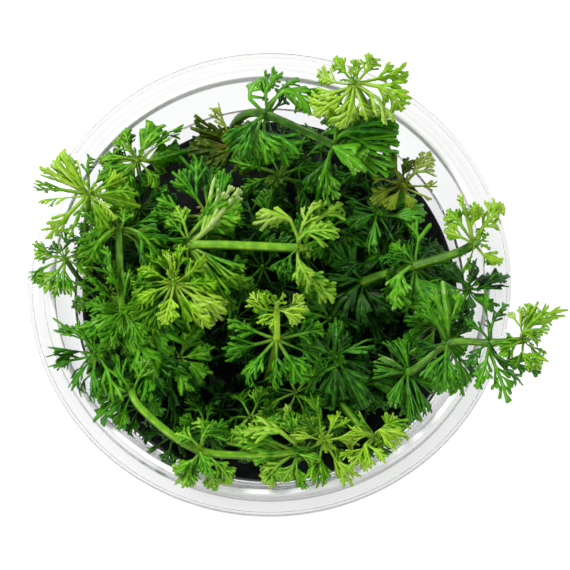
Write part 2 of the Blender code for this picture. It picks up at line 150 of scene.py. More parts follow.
Whorl = namedtuple("Whorl", "node tone form climb droop leaves")
Shoot = namedtuple("Shoot", "radius route whorls")
Leaf = namedtuple("Leaf", "heading length sweep form", defaults=(0, None))

# The shoots of the solids: each has its stem's radius, the points its stem runs through, and its
# whorls. A whorl sits at a point of the route, counted from 0. Its leaves rise at the climb angle
# and sink by the droop angle. A leaf is its heading, length, how far its heading turns, its form.
SHOOTS = {
    "crown": Shoot(0.9, ((-9, 35, 32.1), (-6, 35.5, 45), (-0.5, 33.5, 52), (13.5, 26.5, 53)), (
        Whorl(2, "green", "feather", 30, 62, (
            (178, 12.5, -215, "curl"), (96, 9, -60, "curl"), (62, 9.5, -20, "curl"),
            (38, 12.5, -120, "curl"), (238, 11.5), (263, 10), (284, 10.5), (306, 11),
        )),
        Whorl(3, "green", "fan", 8, 24, (
            (12, 13.5), (-2, 13), (-17, 13), (-36, 10), (270, 11.5, 0, "feather"), (38, 8.5),
        )),
    )),
    "umbrella": Shoot(0.7, ((25, 26, 32.1), (23.5, 31, 45), (17.5, 38, 59)), (
        Whorl(2, "lime", "feather", 34, 96, (
            (152, 8.5), (126, 7), (92, 5), (60, 6.5), (22, 11, -40), (-14, 12, -40), (-42, 11),
            (190, 9.5, 30), (214, 10), (256, 9.5), (290, 8),
        )),
    )),
    "russet": Shoot(0.5, ((25, 16.5, 32.1), (26.5, 18, 41), (27.5, 19.5, 48)), (
        Whorl(2, "olive", "blade", 34, 60, (
            (108, 7), (52, 8.5, 0, "feather"), (2, 6, 0, "thread"), (-24, 5.5, 0, "thread"),
            (163, 5, 0, "thread"), (212, 6), (238, 5), (-62, 4.5),
        )),
    )),
    "reach": Shoot(0.9, (
        (12, -3, 32.1), (19.5, 0, 43), (30, 1.5, 49.5), (38.5, 3, 54), (42, 4, 57),
    ), (
        Whorl(1, "dark", "feather", 34, 80, (
            (58, 12, -25), (104, 10), (148, 10, -30), (172, 8), (228, 11), (263, 10), (-28, 8.5),
        )),
        Whorl(2, "green", "feather", 24, 64, (
            (50, 11.5, 110, "curl"), (236, 11, 30), (262, 9), (-66, 11.5, 0, "fan"), (-30, 6.5),
            (140, 6),
        )),
        Whorl(4, "lime", "feather", 32, 62, (
            (99, 9.5), (72, 7), (48, 10), (160, 6), (-18, 5.5, 0, "blade"), (250, 5.5, 0, "blade"),
            (128, 7.5),
        )),
    )),
    "inner": Shoot(0.55, ((19, 9, 32.1), (21, 12, 40), (22.5, 14, 46)), (
        Whorl(2, "dark", "feather", 30, 66, (
            (78, 6), (38, 8, 0, "blade"), (5, 9, 0, "blade"), (-62, 8, 0, "thread"), (260, 8, 0, "fan"),
            (210, 6), (150, 6.5),
        )),
    )),
    "side": Shoot(0.6, ((32, -8, 32.1), (37, -6.5, 40), (41, -3, 47.5)), (
        Whorl(2, "dark", "feather", 30, 62, (
            (27, 8.5), (-34, 6.5), (238, 6.5), (176, 6), (130, 6.5), (72, 6.5),
        )),
    )),
    "spray": Shoot(0.75, (
        (23, -16, 32.1), (28.5, -20.5, 47), (36.5, -15.5, 51), (45, -16, 53.5), (51.5, -16.5, 57),
    ), (
        Whorl(1, "dark", "fan", 30, 70, (
            (104, 7), (148, 6), (190, 6.5), (248, 7.5), (276, 9.5), (-52, 8), (-16, 7),
        )),
        Whorl(2, "green", "fan", 18, 38, (
            (97, 12), (82, 10.5), (114, 9.5), (268, 11), (284, 9.5), (252, 9.5), (60, 7, 0, "feather"),
        )),
        Whorl(3, "green", "feather", 28, 64, (
            (228, 7.5), (292, 12), (-12, 12), (94, 9.5), (256, 9.5), (-44, 9.5), (140, 6.5), (58, 7.5),
        )),
        Whorl(4, "lime", "feather", 34, 68, (
            (24, 8.5), (4, 7.5), (58, 7.5), (92, 5.5), (-36, 6), (216, 5.5),
        )),
    )),
    "lime_right": Shoot(0.7, (
        (11.5, -21, 32.1), (14.5, -26, 43.5), (18.5, -32.5, 49), (21.5, -35.5, 51),
    ), (
        Whorl(3, "lime", "feather", 36, 70, (
            (64, 5.5), (18, 7), (-36, 7), (-78, 7), (236, 6.5), (186, 5),
        )),
    )),
    "lime_front": Shoot(0.65, ((8.5, -29, 32.1), (9.5, -33, 43), (11, -36, 51)), (
        Whorl(2, "lime", "feather", 34, 66, (
            (62, 6), (102, 9), (-58, 9.5), (-84, 8.5), (172, 5.5), (-8, 6),
        )),
    )),
    "front": Shoot(0.8, (
        (-22, -17, 32.1), (-28, -25, 47.5), (-22, -32.5, 49), (-14, -37.5, 49), (-4, -38.5, 49),
        (5.5, -38, 49.5),
    ), (
        Whorl(1, "green", "feather", 30, 70, (
            (223, 8.5, 0, "fan"), (168, 7.5), (122, 7.5), (62, 7), (-50, 6.5), (254, 6.5),
        )),
        Whorl(3, "bright", "feather", 40, 110, (
            (20, 7.5), (64, 7), (108, 7), (152, 7.5), (205, 7.5), (248, 7), (292, 7),
        )),
        Whorl(5, "bright", "feather", 24, 50, (
            (166, 14), (238, 6), (284, 6), (-16, 6), (66, 6.5), (118, 6),
        )),
    )),
    "left": Shoot(0.8, ((-27, -13, 32.1), (-30, -8, 48), (-31, 9, 51)), (
        Whorl(1, "green", "feather", 28, 64, (
            (213, 8.5), (-8, 13), (246, 8), (-58, 8), (152, 7), (32, 7),
        )),
        Whorl(2, "bright", "feather", 28, 66, (
            (236, 11), (205, 7), (-46, 11.5), (40, 7), (150, 6.5), (86, 6.5),
        )),
    )),
    "plume": Shoot(0.7, ((-17, -9, 32.1), (-18.5, -6, 43), (-19.5, -3.5, 54)), (
        Whorl(2, "lime", "feather", 34, 68, (
            (83, 7.5), (2, 7.5), (-55, 11), (-102, 8), (205, 7.5), (150, 7), (42, 7),
        )),
    )),
    "beam": Shoot(0.95, ((-23, 3, 32.1), (-20.5, 4.5, 43), (-16.5, 5.5, 51), (6, 4, 54)), (
        Whorl(2, "bright", "feather", 16, 36, (
            (38, 14.5, 0, "fan"), (20, 13), (-44, 13.5), (-66, 10.5), (112, 7),
        )),
        Whorl(3, "bright", "feather", 20, 46, (
            (41, 14), (10, 10), (-40, 12), (-66, 8.5), (84, 12.5, 175, "curl"), (62, 9.5),
        )),
    )),
    "veil": Shoot(0.6, ((-34, 3.5, 32.1), (-38, 7.5, 43), (-37, 15, 56)), (
        Whorl(2, "lime", "feather", 30, 84, (
            (168, 11), (186, 9.5), (226, 12.5), (246, 9.5), (110, 9.5), (92, 9), (8, 9.5), (46, 7.5),
            (-42, 7),
        )),
    )),
    "corner": Shoot(0.5, ((-25, 21, 32.1), (-27, 23, 40), (-27.5, 25, 48)), (
        Whorl(2, "bright", "feather", 30, 62, (
            (76, 8), (106, 6.5), (18, 10, 0, "fan"), (40, 10.5), (188, 6.5), (-54, 6.5), (236, 6.5),
        )),
    )),
    "edge": Shoot(0.5, ((-34.5, -2, 32.1), (-39.5, 1, 42), (-42, 3, 50)), (
        Whorl(2, "bright", "feather", 30, 62, (
            (201, 7.5), (225, 7), (160, 6), (98, 5.5), (-34, 6), (268, 6.5),
        )),
    )),
    "rim": Shoot(0.6, ((-30.5, -17, 32.1), (-33.5, -17.5, 40), (-35.5, -17, 48.5)), (
        Whorl(2, "green", "feather", 30, 62, (
            (142, 9), (170, 7.5), (194, 7.5), (262, 9), (285, 9.5), (60, 6.5), (228, 7.5),
        )),
    )),
    "centre": Shoot(0.7, ((-1, -19, 32.1), (0.5, -17, 43), (1.5, -15, 53), (1.5, -10, 57.5)), (
        Whorl(2, "bright", "feather", 32, 80, (
            (200, 10), (236, 10.5), (268, 10), (302, 10), (338, 9.5), (18, 9), (152, 9), (110, 7.5),
        )),
        Whorl(3, "lime", "blade", 46, 80, (
            (40, 5), (96, 5), (150, 5), (215, 5), (-30, 5),
        )),
    )),
    "arrow": Shoot(0.6, ((-11, 17, 32.1), (-12.5, 15, 42), (-12.5, 12, 50.5)), (
        Whorl(2, "bright", "fan", 22, 44, (
            (103, 13), (128, 10.5), (80, 7.5), (176, 10.5), (58, 9.5, 40, "blade"), (18, 5.5),
        )),
    )),
    "fold": Shoot(0.65, ((11, -12, 32.1), (12.5, -15, 41), (13.5, -17.5, 48.5)), (
        Whorl(2, "dark", "fan", 28, 66, (
            (-64, 11), (89, 7), (26, 7.5), (166, 7), (234, 8.5), (268, 9.5),
        )),
    )),
    "bundle": Shoot(0.5, ((-5, 23, 32.1), (-5.5, 27, 38), (-7.5, 30, 43.5)), (
        Whorl(2, "olive", "fan", 14, 34, (
            (174, 9.5), (160, 9), (188, 8.5), (214, 7), (236, 6),
        )),
    )),
    "hook": Shoot(0.55, ((6, 28.5, 32.1), (4.5, 27, 40), (2, 22.5, 45)), (
        Whorl(2, "bright", "blade", 24, 56, (
            (226, 6, 0, "fan"), (170, 10), (204, 7), (-22, 9), (12, 8), (64, 8, 0, "feather"),
        )),
    )),
    "shade": Shoot(0.5, ((-0.5, 8, 32.1), (-1.5, 9.5, 37), (-2.5, 11.5, 42.5)), (
        Whorl(2, "dark", "feather", 26, 50, (
            (104, 9.5), (74, 8.5), (145, 6), (6, 6), (236, 5.5), (-60, 6),
        )),
    )),
}

# Undergrowth: smaller shoots spread evenly over the medium like seeds in a sunflower, apart from
# the bare patches, each given as x, y and radius. A leaf that would end in one of them, or past the
# reach, is made shorter step by step.
GOLDEN_ANGLE = 137.508
UNDERGROWTH_SHOOTS = 48
UNDERGROWTH_SPREAD = 34.5
UNDERGROWTH_PIECES = 8
UNDERGROWTH_HEIGHTS = (35.5, 41.0)
UNDERGROWTH_RADIUS = 0.5
UNDERGROWTH_REACH = 38.0
UNDERGROWTH_LEAVES = 7
UNDERGROWTH_LENGTHS = (7.0, 10.0)
UNDERGROWTH_CLIMBS = (18, 40)
UNDERGROWTH_DROOPS = (50, 90)
UNDERGROWTH_TILT = 30
UNDERGROWTH_LEAN = 2
UNDERGROWTH_BOW = 0.2
UNDERGROWTH_TURN = 60
UNDERGROWTH_JITTER = 20
UNDERGROWTH_LOOKS = ("brush", "brush", "palm", "feather")
# The undergrowth's low tints are partly older leaves and partly painted shade deep in the cup.
UNDERGROWTH_AGES_AND_SHADE = (0.0, 0.3)
UNDERGROWTH_YOUNGER = 0.15
UNDERGROWTH_STEM_TINT = 0.1
UNDERGROWTH_SEED = 7
STEM_STRIDE = 3
SHORTEST_LEAF = 3.0
LENGTH_STEP = 0.5
BARE_PATCHES = (
    (-14, 28, 9), (33.5, 17, 4.5), (-3, -36.5, 4), (-9.5, -16, 3.5), (27, -26, 5.5), (6.5, 20, 3.2),
    (-18, 18, 3.5),
)

# Small shoots, which are the undergrowth and the middle shoots: how high their feet stand above the
# medium, how far a leaf's heading turns, and the widths of their leaves
SMALL_FOOT = 1.1
SMALL_SWEEP = 40
SMALL_WIDTHS = (0.9, 1.2)

# Middle shoots: each is its whorl's place and height, its tone, the kind of its leaves and their
# usual length
Middle = namedtuple("Middle", "x y height tone look length")
MIDDLE_LEAVES = 8
MIDDLE_LENGTHS = (0.7, 1.15)
MIDDLE_CLIMBS = (0.0, 58.0)
MIDDLE_DROOP = 70.0
MIDDLE_RADIUS = 0.55
MIDDLE_LEAN = 40.0
MIDDLE_INWARD = 0.12
MIDDLE_JITTER = 0.35
MIDDLE_TINTS = (0.1, 0.6)
MIDDLE_STEM_TINT = 0.2
MIDDLE_SEED = 500
MIDDLE_SHOOTS = (
    (-27, 16, 43, "green", "feather", 8), (-25, 6, 43, "dark", "brush", 10),
    (-34.5, 9.5, 46, "bright", "palm", 8), (-33, -3, 46, "bright", "feather", 9),
    (-26, -4.5, 47, "bright", "feather", 9), (-11, -1.5, 46, "bright", "brush", 10),
    (-31, -13, 45, "bright", "brush", 10), (-20.5, -20, 43, "green", "brush", 10),
    (-7, -7, 41, "dark", "palm", 8), (12, 11.5, 43, "green", "palm", 9),
    (6, 26, 42, "green", "slim", 10), (23, 5, 44, "dark", "palm", 9),
    (30.5, 2, 46, "green", "feather", 8), (12.5, -8, 43, "green", "brush", 9),
    (5.5, -24, 44, "bright", "palm", 9), (15, -26, 42, "green", "palm", 8),
    (-4, -29, 43, "bright", "feather", 9), (-13, -31, 42, "green", "feather", 8),
    (19, -22, 43, "green", "brush", 9), (34, -10, 46, "bright", "brush", 9),
    (20, 26, 44, "green", "palm", 8), (26, 10, 42, "green", "palm", 8),
    (-1.5, 3.5, 42, "dark", "feather", 9), (-20, -32, 39, "green", "feather", 6.5),
    (-27, -26, 40, "green", "palm", 6.5), (-18.5, -17, 46, "bright", "brush", 9),
    (-25, -19, 46, "green", "brush", 9),
)

# Dried flecks: place, length, width, heading and rise
Fleck = namedtuple("Fleck", "x y z length width heading rise")
FLECK_THICKNESS = 0.25
FLECK_ENDS = 0.35
FLECK_SHIFT = 0.15
FLECK_CURL = 0.2
FLECKS = (
    (5.6, 20.5, 31.4, 2.2, 0.5, 92, 60), (7.4, 20.0, 31.2, 1.8, 1.4, 10, 12),
    (-19.1, 16.5, 31.2, 1.9, 0.6, 20, 10), (-16.3, 17.6, 31.2, 1.8, 0.5, 35, 16),
    (-15.5, 20.0, 31.1, 1.5, 0.6, 5, 8), (-22.8, 19.0, 31.1, 1.6, 1.1, 60, 8),
    (33.6, -7.4, 31.2, 1.7, 0.9, 100, 14), (-1.0, -12.0, 31.1, 1.6, 0.8, 40, 6),
    (-10.5, 27.0, 31.1, 1.4, 0.5, 140, 6),
)

# Leaves. Each kind has some flat variants, whose lobes are there by a chance and whose axis has a
# bend. A leaf laid on its line gets a roll, twist, cup, fold and wave of its own. A tint runs from 0
# for an old leaf to 1 for a young one, and past that for a pale one; the low tints of the extra
# leaves and of the undergrowth are partly older leaves and partly painted shade deep in the
# foliage. Extra leaves stand between the leaves of the solids.
LEAF_LAYERS = ("across", "along", "tint")
LEAF_THICKNESS = 0.2
SHEET_VARIANTS = 12
WHORL_SEEDS = 100
LOBE_CHANCE = 0.92
LEAF_BEND = 26.0
RIB_WIDTH = 0.08
BLUNTNESS = 0.38
LOBE_ANGLES = (0.7, 1.3)
LOBE_LENGTHS = (0.68, 1.2)
LOBE_SHOULDER = 0.88
PAIR_SPACING = 0.26
PAIR_LOSS = 0.25
FINGER_ANGLES = (0.75, 1.25)
FINGER_LENGTHS = (0.8, 1.25)
FINGER_WIDTH = 0.85
FINGER_SHOULDER = 0.68
FINGER_BEND = -14
FINGER_LIFTS = (-0.2, 0.15)
FINGER_CURLS = (-0.5, 0.1)
LEAF_WIDTHS = (0.9, 1.15)
LEAF_TINTS = (0.2, 1.05)
ROLL = 52.0
TWIST = 70.0
CUPS = (-2.6, 0.6)
FOLDS = (-0.25, 0.7)
WAVE_HEIGHTS = (0.01, 0.05)
EXTRA_SPACING = 58.0
EXTRA_LENGTHS = (0.65, 1.0)
EXTRA_CLIMBS = (-38.0, 6.0)
# The extra leaves' low tints are partly older leaves and partly painted shade under the whorls.
EXTRA_TINTS = (-0.1, 0.5)
EXTRA_PLACES = (0.3, 0.7)
EXTRA_SWEEP = 35
EXTRA_WIDTHS = (0.85, 1.15)

# Buds: small leaves around each growing tip, each less steep than the one before
BUD_LEAVES = 7
BUD_LENGTH = 2.8
BUD_LENGTHS = (0.75, 1.15)
BUD_DEPTH = 0.55
BUD_CLIMB = 72
BUD_CLIMB_STEP = 5
BUD_DROOP = 40
BUD_WIDTH = 1.2
BUD_TINTS = (0.6, 0.95)

# How light each stem is, from 0 for a dark green to 1 for a lime green
STEM_TINTS = {
    "crown": 0.1, "umbrella": 0.35, "reach": 0.25, "spray": 0.25, "side": 0.2, "lime_right": 0.4,
    "lime_front": 0.5, "front": 0.5, "left": 0.35, "plume": 0.5, "beam": 0.55, "veil": 0.3,
    "centre": 0.8,
}
USUAL_STEM_TINT = 0.3

# Camera and stage. The key light's size and place are metres. The ceiling begins where directions
# point up by its edge, from 0 for level to 1 for straight up.
PHOTO_WIDTH = 570
PIXELS_PER_MM = 4.835
CAMERA_ELEVATION = 73.4
CAMERA_DISTANCE = 800.0
CAMERA_TARGET = (3.2, -1.2, 45.0)
SENSOR = 36.0
CEILING_EDGE = (0.62, 0.86)
CEILING_SHARE = 0.2
FLOOR_SIZE = 2500
KEY_SIZE = 0.3
KEY_PLACE = (-0.45, 0.35, 0.62)

# A lobe of a flat leaf: its angle to what it grows from, its length and its widths along it, how
# it bends, rises and curls, and its own lobes, each with its start and its side
Lobe = namedtuple("Lobe", "angle length widths bend lift curl forks")


def srgb(code):
    """Linear red, green and blue of an sRGB hex colour."""
    values = [int(code[first:first + 2], 16) / 255 for first in (1, 3, 5)]
    return tuple(v / 12.92 if v <= 0.04045 else ((v + 0.055) / 1.055) ** 2.4 for v in values)


def add_node(tree, kind, properties=None, inputs=None, links=None):
    """Add one shader node with its properties, input values and linked inputs."""
    node = tree.nodes.new(kind)
    for name, value in (properties or {}).items():
        setattr(node, name, value)
    for name, value in (inputs or {}).items():
        node.inputs[name].default_value = value
    for name, socket in (links or {}).items():
        tree.links.new(socket, node.inputs[name])
    return node


def new_material(name):
    """A material with an empty node tree and its output node."""
    material = bpy.data.materials.new(name)
    material.use_nodes = True
    tree = material.node_tree
    tree.nodes.clear()
    return material, tree, add_node(tree, "ShaderNodeOutputMaterial")


def mix_colours(tree, factor, first, second):
    """A colour that goes from the first to the second; each is a colour value or a socket."""
    node = add_node(tree, "ShaderNodeMix", {"data_type": "RGBA"}, {}, {0: factor})
    for index, colour in ((6, first), (7, second)):
        if isinstance(colour, bpy.types.NodeSocket):
            tree.links.new(colour, node.inputs[index])
        else:
            node.inputs[index].default_value = (*colour, 1.0)
    return node.outputs[2]


def rescaled(tree, socket, low, high, out_low, out_high):
    """A value carried from one range to another, and held at its ends."""
    node = add_node(tree, "ShaderNodeMapRange", {}, {
        "From Min": low, "From Max": high, "To Min": out_low, "To Max": out_high,
    }, {"Value": socket})
    return node.outputs[0]


def speckle(tree, size, detail=2.0):
    """Noise whose patches measure about the given size in millimetres."""
    coordinates = add_node(tree, "ShaderNodeTexCoord")
    node = add_node(tree, "ShaderNodeTexNoise", {}, {"Scale": 1 / (size * MM), "Detail": detail}, {
        "Vector": coordinates.outputs["Object"],
    })
    return node.outputs["Fac"]


def attribute(tree, name):
    """A value that the mesh carries at its points."""
    return add_node(tree, "ShaderNodeAttribute", {"attribute_name": name}).outputs["Fac"]


def colour_ramp(tree, factor, colours):
    """A colour that passes through evenly spaced colours as the factor goes from 0 to 1."""
    node = add_node(tree, "ShaderNodeValToRGB", {}, {}, {"Fac": factor})
    elements = node.color_ramp.elements
    while len(elements) < len(colours):
        elements.new(0.5)
    for count, colour in enumerate(colours):
        elements[count].position = count / (len(colours) - 1)
        elements[count].color = (*colour, 1.0)
    return node.outputs["Color"]


def calculated(tree, operation, first, second=0.0):
    """The result of a sum on two values; each is a number or a socket."""
    node = add_node(tree, "ShaderNodeMath", {"operation": operation})
    for index, value in enumerate((first, second)):
        if isinstance(value, bpy.types.NodeSocket):
            tree.links.new(value, node.inputs[index])
        else:
            node.inputs[index].default_value = value
    return node.outputs[0]


def bumped(tree, height, strength, distance):
    """A normal that follows a height, whose full range stands for a distance in millimetres."""
    node = add_node(tree, "ShaderNodeBump", {}, {"Strength": strength, "Distance": distance * MM}, {
        "Height": height,
    })
    return node.outputs[0]


def principled(tree, values, links):
    """The output of a principled surface with the given values and linked inputs."""
    return add_node(tree, "ShaderNodeBsdfPrincipled", {}, values, links).outputs[0]


def leaf_material(name, greens, pale, stalk, gloss, see_through):
    """Living leaf, moist and thin: satin with wet glints, and it glows where light is behind.

    Its greens run from old to young, and past that to pale. Fingers, ribs and the younger leaves
    are lighter, with soft patches, and the stalk is pale. Each lobe's middle is lighter and its edges
    darker, partly as rib colour and partly as painted highlight and painted shade. Low ridges run
    along each finger.
    """
    material, tree, output = new_material(name)
    along = attribute(tree, "along")
    across = attribute(tree, "across")
    patches = rescaled(tree, speckle(tree, 1.5), 0.36, 0.64, -0.22, 0.22)
    # Rib colour and painted light: each lobe's middle is lighter, partly as its rib and partly as a
    # painted highlight, and its edges are darker as painted shade.
    from_rib = calculated(tree, "PINGPONG", calculated(tree, "ABSOLUTE", across), 1.0)
    middle = rescaled(tree, from_rib, 0.15, 0.85, 0.24, -0.2)
    tips = rescaled(tree, along, 0.7, 1.0, 0.0, 0.12)
    age_and_shade = attribute(tree, "tint")
    for change in (patches, middle, tips):
        age_and_shade = calculated(tree, "ADD", age_and_shade, change)
    paleness = rescaled(tree, age_and_shade, 1.25, 1.65, 0.0, 0.85)
    green = mix_colours(tree, paleness, colour_ramp(tree, age_and_shade, greens), pale)
    colour = mix_colours(tree, rescaled(tree, along, 0.08, 0.42, 0.7, 0.0), green, stalk)
    fine = speckle(tree, 0.35, 3.0)
    ridges = calculated(tree, "COSINE", calculated(tree, "MULTIPLY", across, pi))
    height = calculated(tree, "ADD", calculated(tree, "MULTIPLY", ridges, 0.6), fine)
    bump = bumped(tree, height, 0.7, 0.14)
    surface = principled(tree, {
        "IOR": 1.42, "Specular IOR Level": 0.18, "Coat Weight": gloss, "Coat Roughness": 0.1,
    }, {
        "Base Color": colour, "Normal": bump, "Coat Normal": bump,
        "Roughness": rescaled(tree, fine, 0.3, 0.7, 0.32, 0.5),
    })
    warm = mix_colours(tree, rescaled(tree, age_and_shade, 0.0, 1.0, 0.35, 0.8), colour, greens[-1])
    glow = add_node(tree, "ShaderNodeBsdfTranslucent", {}, {}, {"Color": warm})
    both = add_node(tree, "ShaderNodeMixShader", {}, {0: see_through})
    tree.links.new(surface, both.inputs[1])
    tree.links.new(glow.outputs[0], both.inputs[2])
    tree.links.new(both.outputs[0], output.inputs["Surface"])
    return material


def stem_material(greens, ridge):
    """Juicy plant stem with a waxy skin: smooth, softly glossy, with long pale ribs.

    Seen edge-on its skin is painted darker, towards the root's green: painted shade on the round stem.
    """
    material, tree, output = new_material("stem_skin")
    patches = rescaled(tree, speckle(tree, 2.4), 0.4, 0.65, -0.12, 0.12)
    green = colour_ramp(tree, calculated(tree, "ADD", attribute(tree, "tint"), patches), greens)
    broken = rescaled(tree, speckle(tree, 1.2), 0.35, 0.65, 0.05, 0.32)
    ribs = rescaled(tree, attribute(tree, "ridge"), 0.1, 1.0, 0.0, 1.0)
    ribbed = mix_colours(tree, calculated(tree, "MULTIPLY", ribs, broken), green, ridge)
    # Painted shade: the skin darkens towards the root's green where the stem is seen edge-on.
    facing = add_node(tree, "ShaderNodeLayerWeight", {}, {"Blend": 0.5}).outputs["Facing"]
    painted_edge_shade = mix_colours(tree, rescaled(tree, facing, 0.2, 0.75, 0.0, 0.75), ribbed, greens[0])
    fine = speckle(tree, 0.5, 3.0)
    bump = bumped(tree, fine, 0.25, 0.1)
    surface = principled(tree, {
        "IOR": 1.4, "Specular IOR Level": 0.25, "Subsurface Weight": 0.2, "Subsurface Scale": 0.6 * MM,
        "Subsurface Radius": (0.6, 1.0, 0.25),
    }, {
        "Base Color": painted_edge_shade, "Normal": bump,
        "Roughness": rescaled(tree, fine, 0.3, 0.7, 0.3, 0.45),
    })
    tree.links.new(surface, output.inputs["Surface"])
    return material


def plastic_material(name, tint, clearness, haze):
    """Moulded clear polypropylene: see-through and glossy, with a milky haze where it is thick."""
    material, tree, output = new_material(name)
    surface = principled(tree, {
        "Base Color": (*tint, 1.0), "IOR": 1.49, "Transmission Weight": clearness,
    }, {"Roughness": rescaled(tree, speckle(tree, 14.0), 0.35, 0.7, *haze)})
    tree.links.new(surface, output.inputs["Surface"])
    return material


def medium_material(black, lit):
    """Moist black growing gel with fine fibres: nearly black, with wet glints on its lumps.

    Its raised grains are lighter, partly as their own colour and partly as painted light on their tops.
    """
    material, tree, output = new_material("moist_medium")
    coarse = speckle(tree, 1.1, 5.0)
    # Painted light: the raised grains take the lit colour, as if lit on their tops; it is partly their
    # own colour too.
    colour = mix_colours(tree, rescaled(tree, coarse, 0.4, 0.75, 0.0, 1.0), black, lit)
    bump = bumped(tree, coarse, 0.6, 0.15)
    surface = principled(tree, {"IOR": 1.36, "Specular IOR Level": 0.25}, {
        "Base Color": colour, "Normal": bump,
        "Roughness": rescaled(tree, speckle(tree, 0.6), 0.3, 0.7, 0.35, 0.7),
    })
    tree.links.new(surface, output.inputs["Surface"])
    return material


def fleck_material(husk, shade):
    """Dried husk of an old leaf: matt, straw-coloured, streaked with brown."""
    material, tree, output = new_material("dried_husk")
    colour = mix_colours(tree, rescaled(tree, speckle(tree, 0.5), 0.4, 0.65, 0.0, 1.0), husk, shade)
    surface = principled(tree, {"Roughness": 0.75}, {"Base Color": colour})
    tree.links.new(surface, output.inputs["Surface"])
    return material


def floor_material(paper, glow):
    """Light table of white opal acrylic: matt, and lit evenly from below."""
    material, tree, output = new_material("opal_acrylic")
    grain = rescaled(tree, speckle(tree, 3.0), 0.3, 0.7, 0.0, 1.0)
    colour = mix_colours(tree, grain, paper, tuple(value * 0.985 for value in paper))
    surface = principled(tree, {
        "Roughness": 0.9, "Specular IOR Level": 0.2,
        "Emission Color": (1, 1, 1, 1), "Emission Strength": glow,
    }, {"Base Color": colour})
    tree.links.new(surface, output.inputs["Surface"])
    return material


def add_piece(name, bm, material):
    """Turn a mesh in millimetres into an object at the origin, in metres."""
    bmesh.ops.scale(bm, vec=(MM, MM, MM), verts=bm.verts)
    mesh = bpy.data.meshes.new(name)
    bm.to_mesh(mesh)
    bm.free()
    mesh.materials.append(material)
    mesh.shade_smooth()
    piece = bpy.data.objects.new(name, mesh)
    bpy.context.scene.collection.objects.link(piece)
    return piece


def dress(piece, slot, *nodes):
    """Say which body the piece rides on and hide the solids it stands for; the slot is not used."""
    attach(piece, BODY)
    if nodes:
        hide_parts(*nodes)


def add_modifier(piece, kind, **settings):
    """Add a modifier of one kind with its settings."""
    modifier = piece.modifiers.new(kind.title(), kind)
    for name, value in settings.items():
        setattr(modifier, name, value)


def made_material(name):
    """A material that an earlier step has made."""
    material = bpy.data.materials.get(name)
    if material is None:
        raise RuntimeError(f"The step that makes {name} has to run first")
    return material


def layered_bmesh(names):
    """An empty mesh whose points carry the named values."""
    bm = bmesh.new()
    for name in names:
        bm.verts.layers.float.new(name)
    return bm


def add_stems(name, bm, skin, *nodes):
    """Turn grown stems into a piece."""
    bmesh.ops.recalc_face_normals(bm, faces=bm.faces)
    dress(add_piece(name, bm, skin), "stem", *nodes)


def add_leaves(name, bm, skin, slot, *nodes):
    """Turn laid leaves into a piece and give them their thickness."""
    piece = add_piece(name, bm, skin)
    add_modifier(piece, "SOLIDIFY", thickness=LEAF_THICKNESS * MM, offset=0.0)
    dress(piece, slot, *nodes)


def turned_solid(profile, segments):
    """Spin a profile of (radius, height) points, which starts and ends on the axis."""
    bm = bmesh.new()
    points = [bm.verts.new((radius, 0, height)) for radius, height in profile]
    edges = [bm.edges.new(pair) for pair in zip(points, points[1:])]
    bmesh.ops.spin(
        bm, geom=points + edges, axis=(0, 0, 1), angle=tau, steps=segments, use_merge=True,
    )
    bmesh.ops.remove_doubles(bm, verts=bm.verts, dist=MERGE_DISTANCE)
    bmesh.ops.recalc_face_normals(bm, faces=bm.faces)
    return bm


def wall_radius(height):
    """Inner radius of the wall below the shoulder."""
    top = SHOULDER_RADIUS - SHOULDER_STEP
    share = (height - FLOOR_THICKNESS) / (SHOULDER_HEIGHT - FLOOR_THICKNESS)
    return FLOOR_RADIUS + (top - FLOOR_RADIUS) * share


def cup_profile():
    """The cup's outline from the middle of its base, up the outside and down the inside."""
    outside = [
        (0, 0),
        (FLOOR_RADIUS + WALL - BASE_CHAMFER, 0),
        (FLOOR_RADIUS + WALL, BASE_CHAMFER),
        (SHOULDER_RADIUS - SHOULDER_STEP + WALL, SHOULDER_HEIGHT - SHOULDER_STEP / 2),
        (SHOULDER_RADIUS + WALL, SHOULDER_HEIGHT),
        (MOUTH_RADIUS + WALL, RIM_HEIGHT - LIP_DROP),
        (MOUTH_RADIUS + WALL, RIM_HEIGHT - WALL),
        (RIM_RADIUS - WALL, RIM_HEIGHT - WALL - FLANGE_STEP),
        (RIM_RADIUS - WALL, RIM_HEIGHT - SKIRT_DROP),
    ]
    inside = [
        (RIM_RADIUS, RIM_HEIGHT - SKIRT_DROP),
        (RIM_RADIUS, RIM_HEIGHT - FLANGE_STEP),
        (FLANGE_STEP_RADIUS, RIM_HEIGHT - FLANGE_STEP),
        (FLANGE_STEP_RADIUS - FLANGE_STEP, RIM_HEIGHT),
        (MOUTH_RADIUS + WALL + LIP_REACH / 2, RIM_HEIGHT),
    ]
    for step in range(LIP_STEPS + 1):
        angle = pi / 2 * (1 + step / LIP_STEPS)
        inside.append((
            MOUTH_RADIUS + LIP_ROUNDING * (1 + cos(angle)),
            RIM_HEIGHT - LIP_ROUNDING * (1 - sin(angle)),
        ))
    inside += [
        (MOUTH_RADIUS, RIM_HEIGHT - LIP_DROP),
        (SHOULDER_RADIUS, SHOULDER_HEIGHT + SHOULDER_STEP),
        (SHOULDER_RADIUS - SHOULDER_STEP, SHOULDER_HEIGHT),
        (FLOOR_RADIUS, FLOOR_THICKNESS),
        (0, FLOOR_THICKNESS),
    ]
    return outside + inside


def mark_rim(bm):
    """Give the lip, where the wall meets the flange, and the flange materials of their own."""
    lip_edge = MOUTH_RADIUS + WALL + LIP_REACH / 2
    for face in bm.faces:
        middle = face.calc_center_median()
        radius = middle.xy.length
        if middle.z > RIM_HEIGHT - MILKY_DROP:
            if MOUTH_RADIUS - MILKY_REACH < radius < lip_edge:
                face.material_index = MILKY_SLOT
            elif radius > lip_edge:
                face.material_index = FLANGE_SLOT


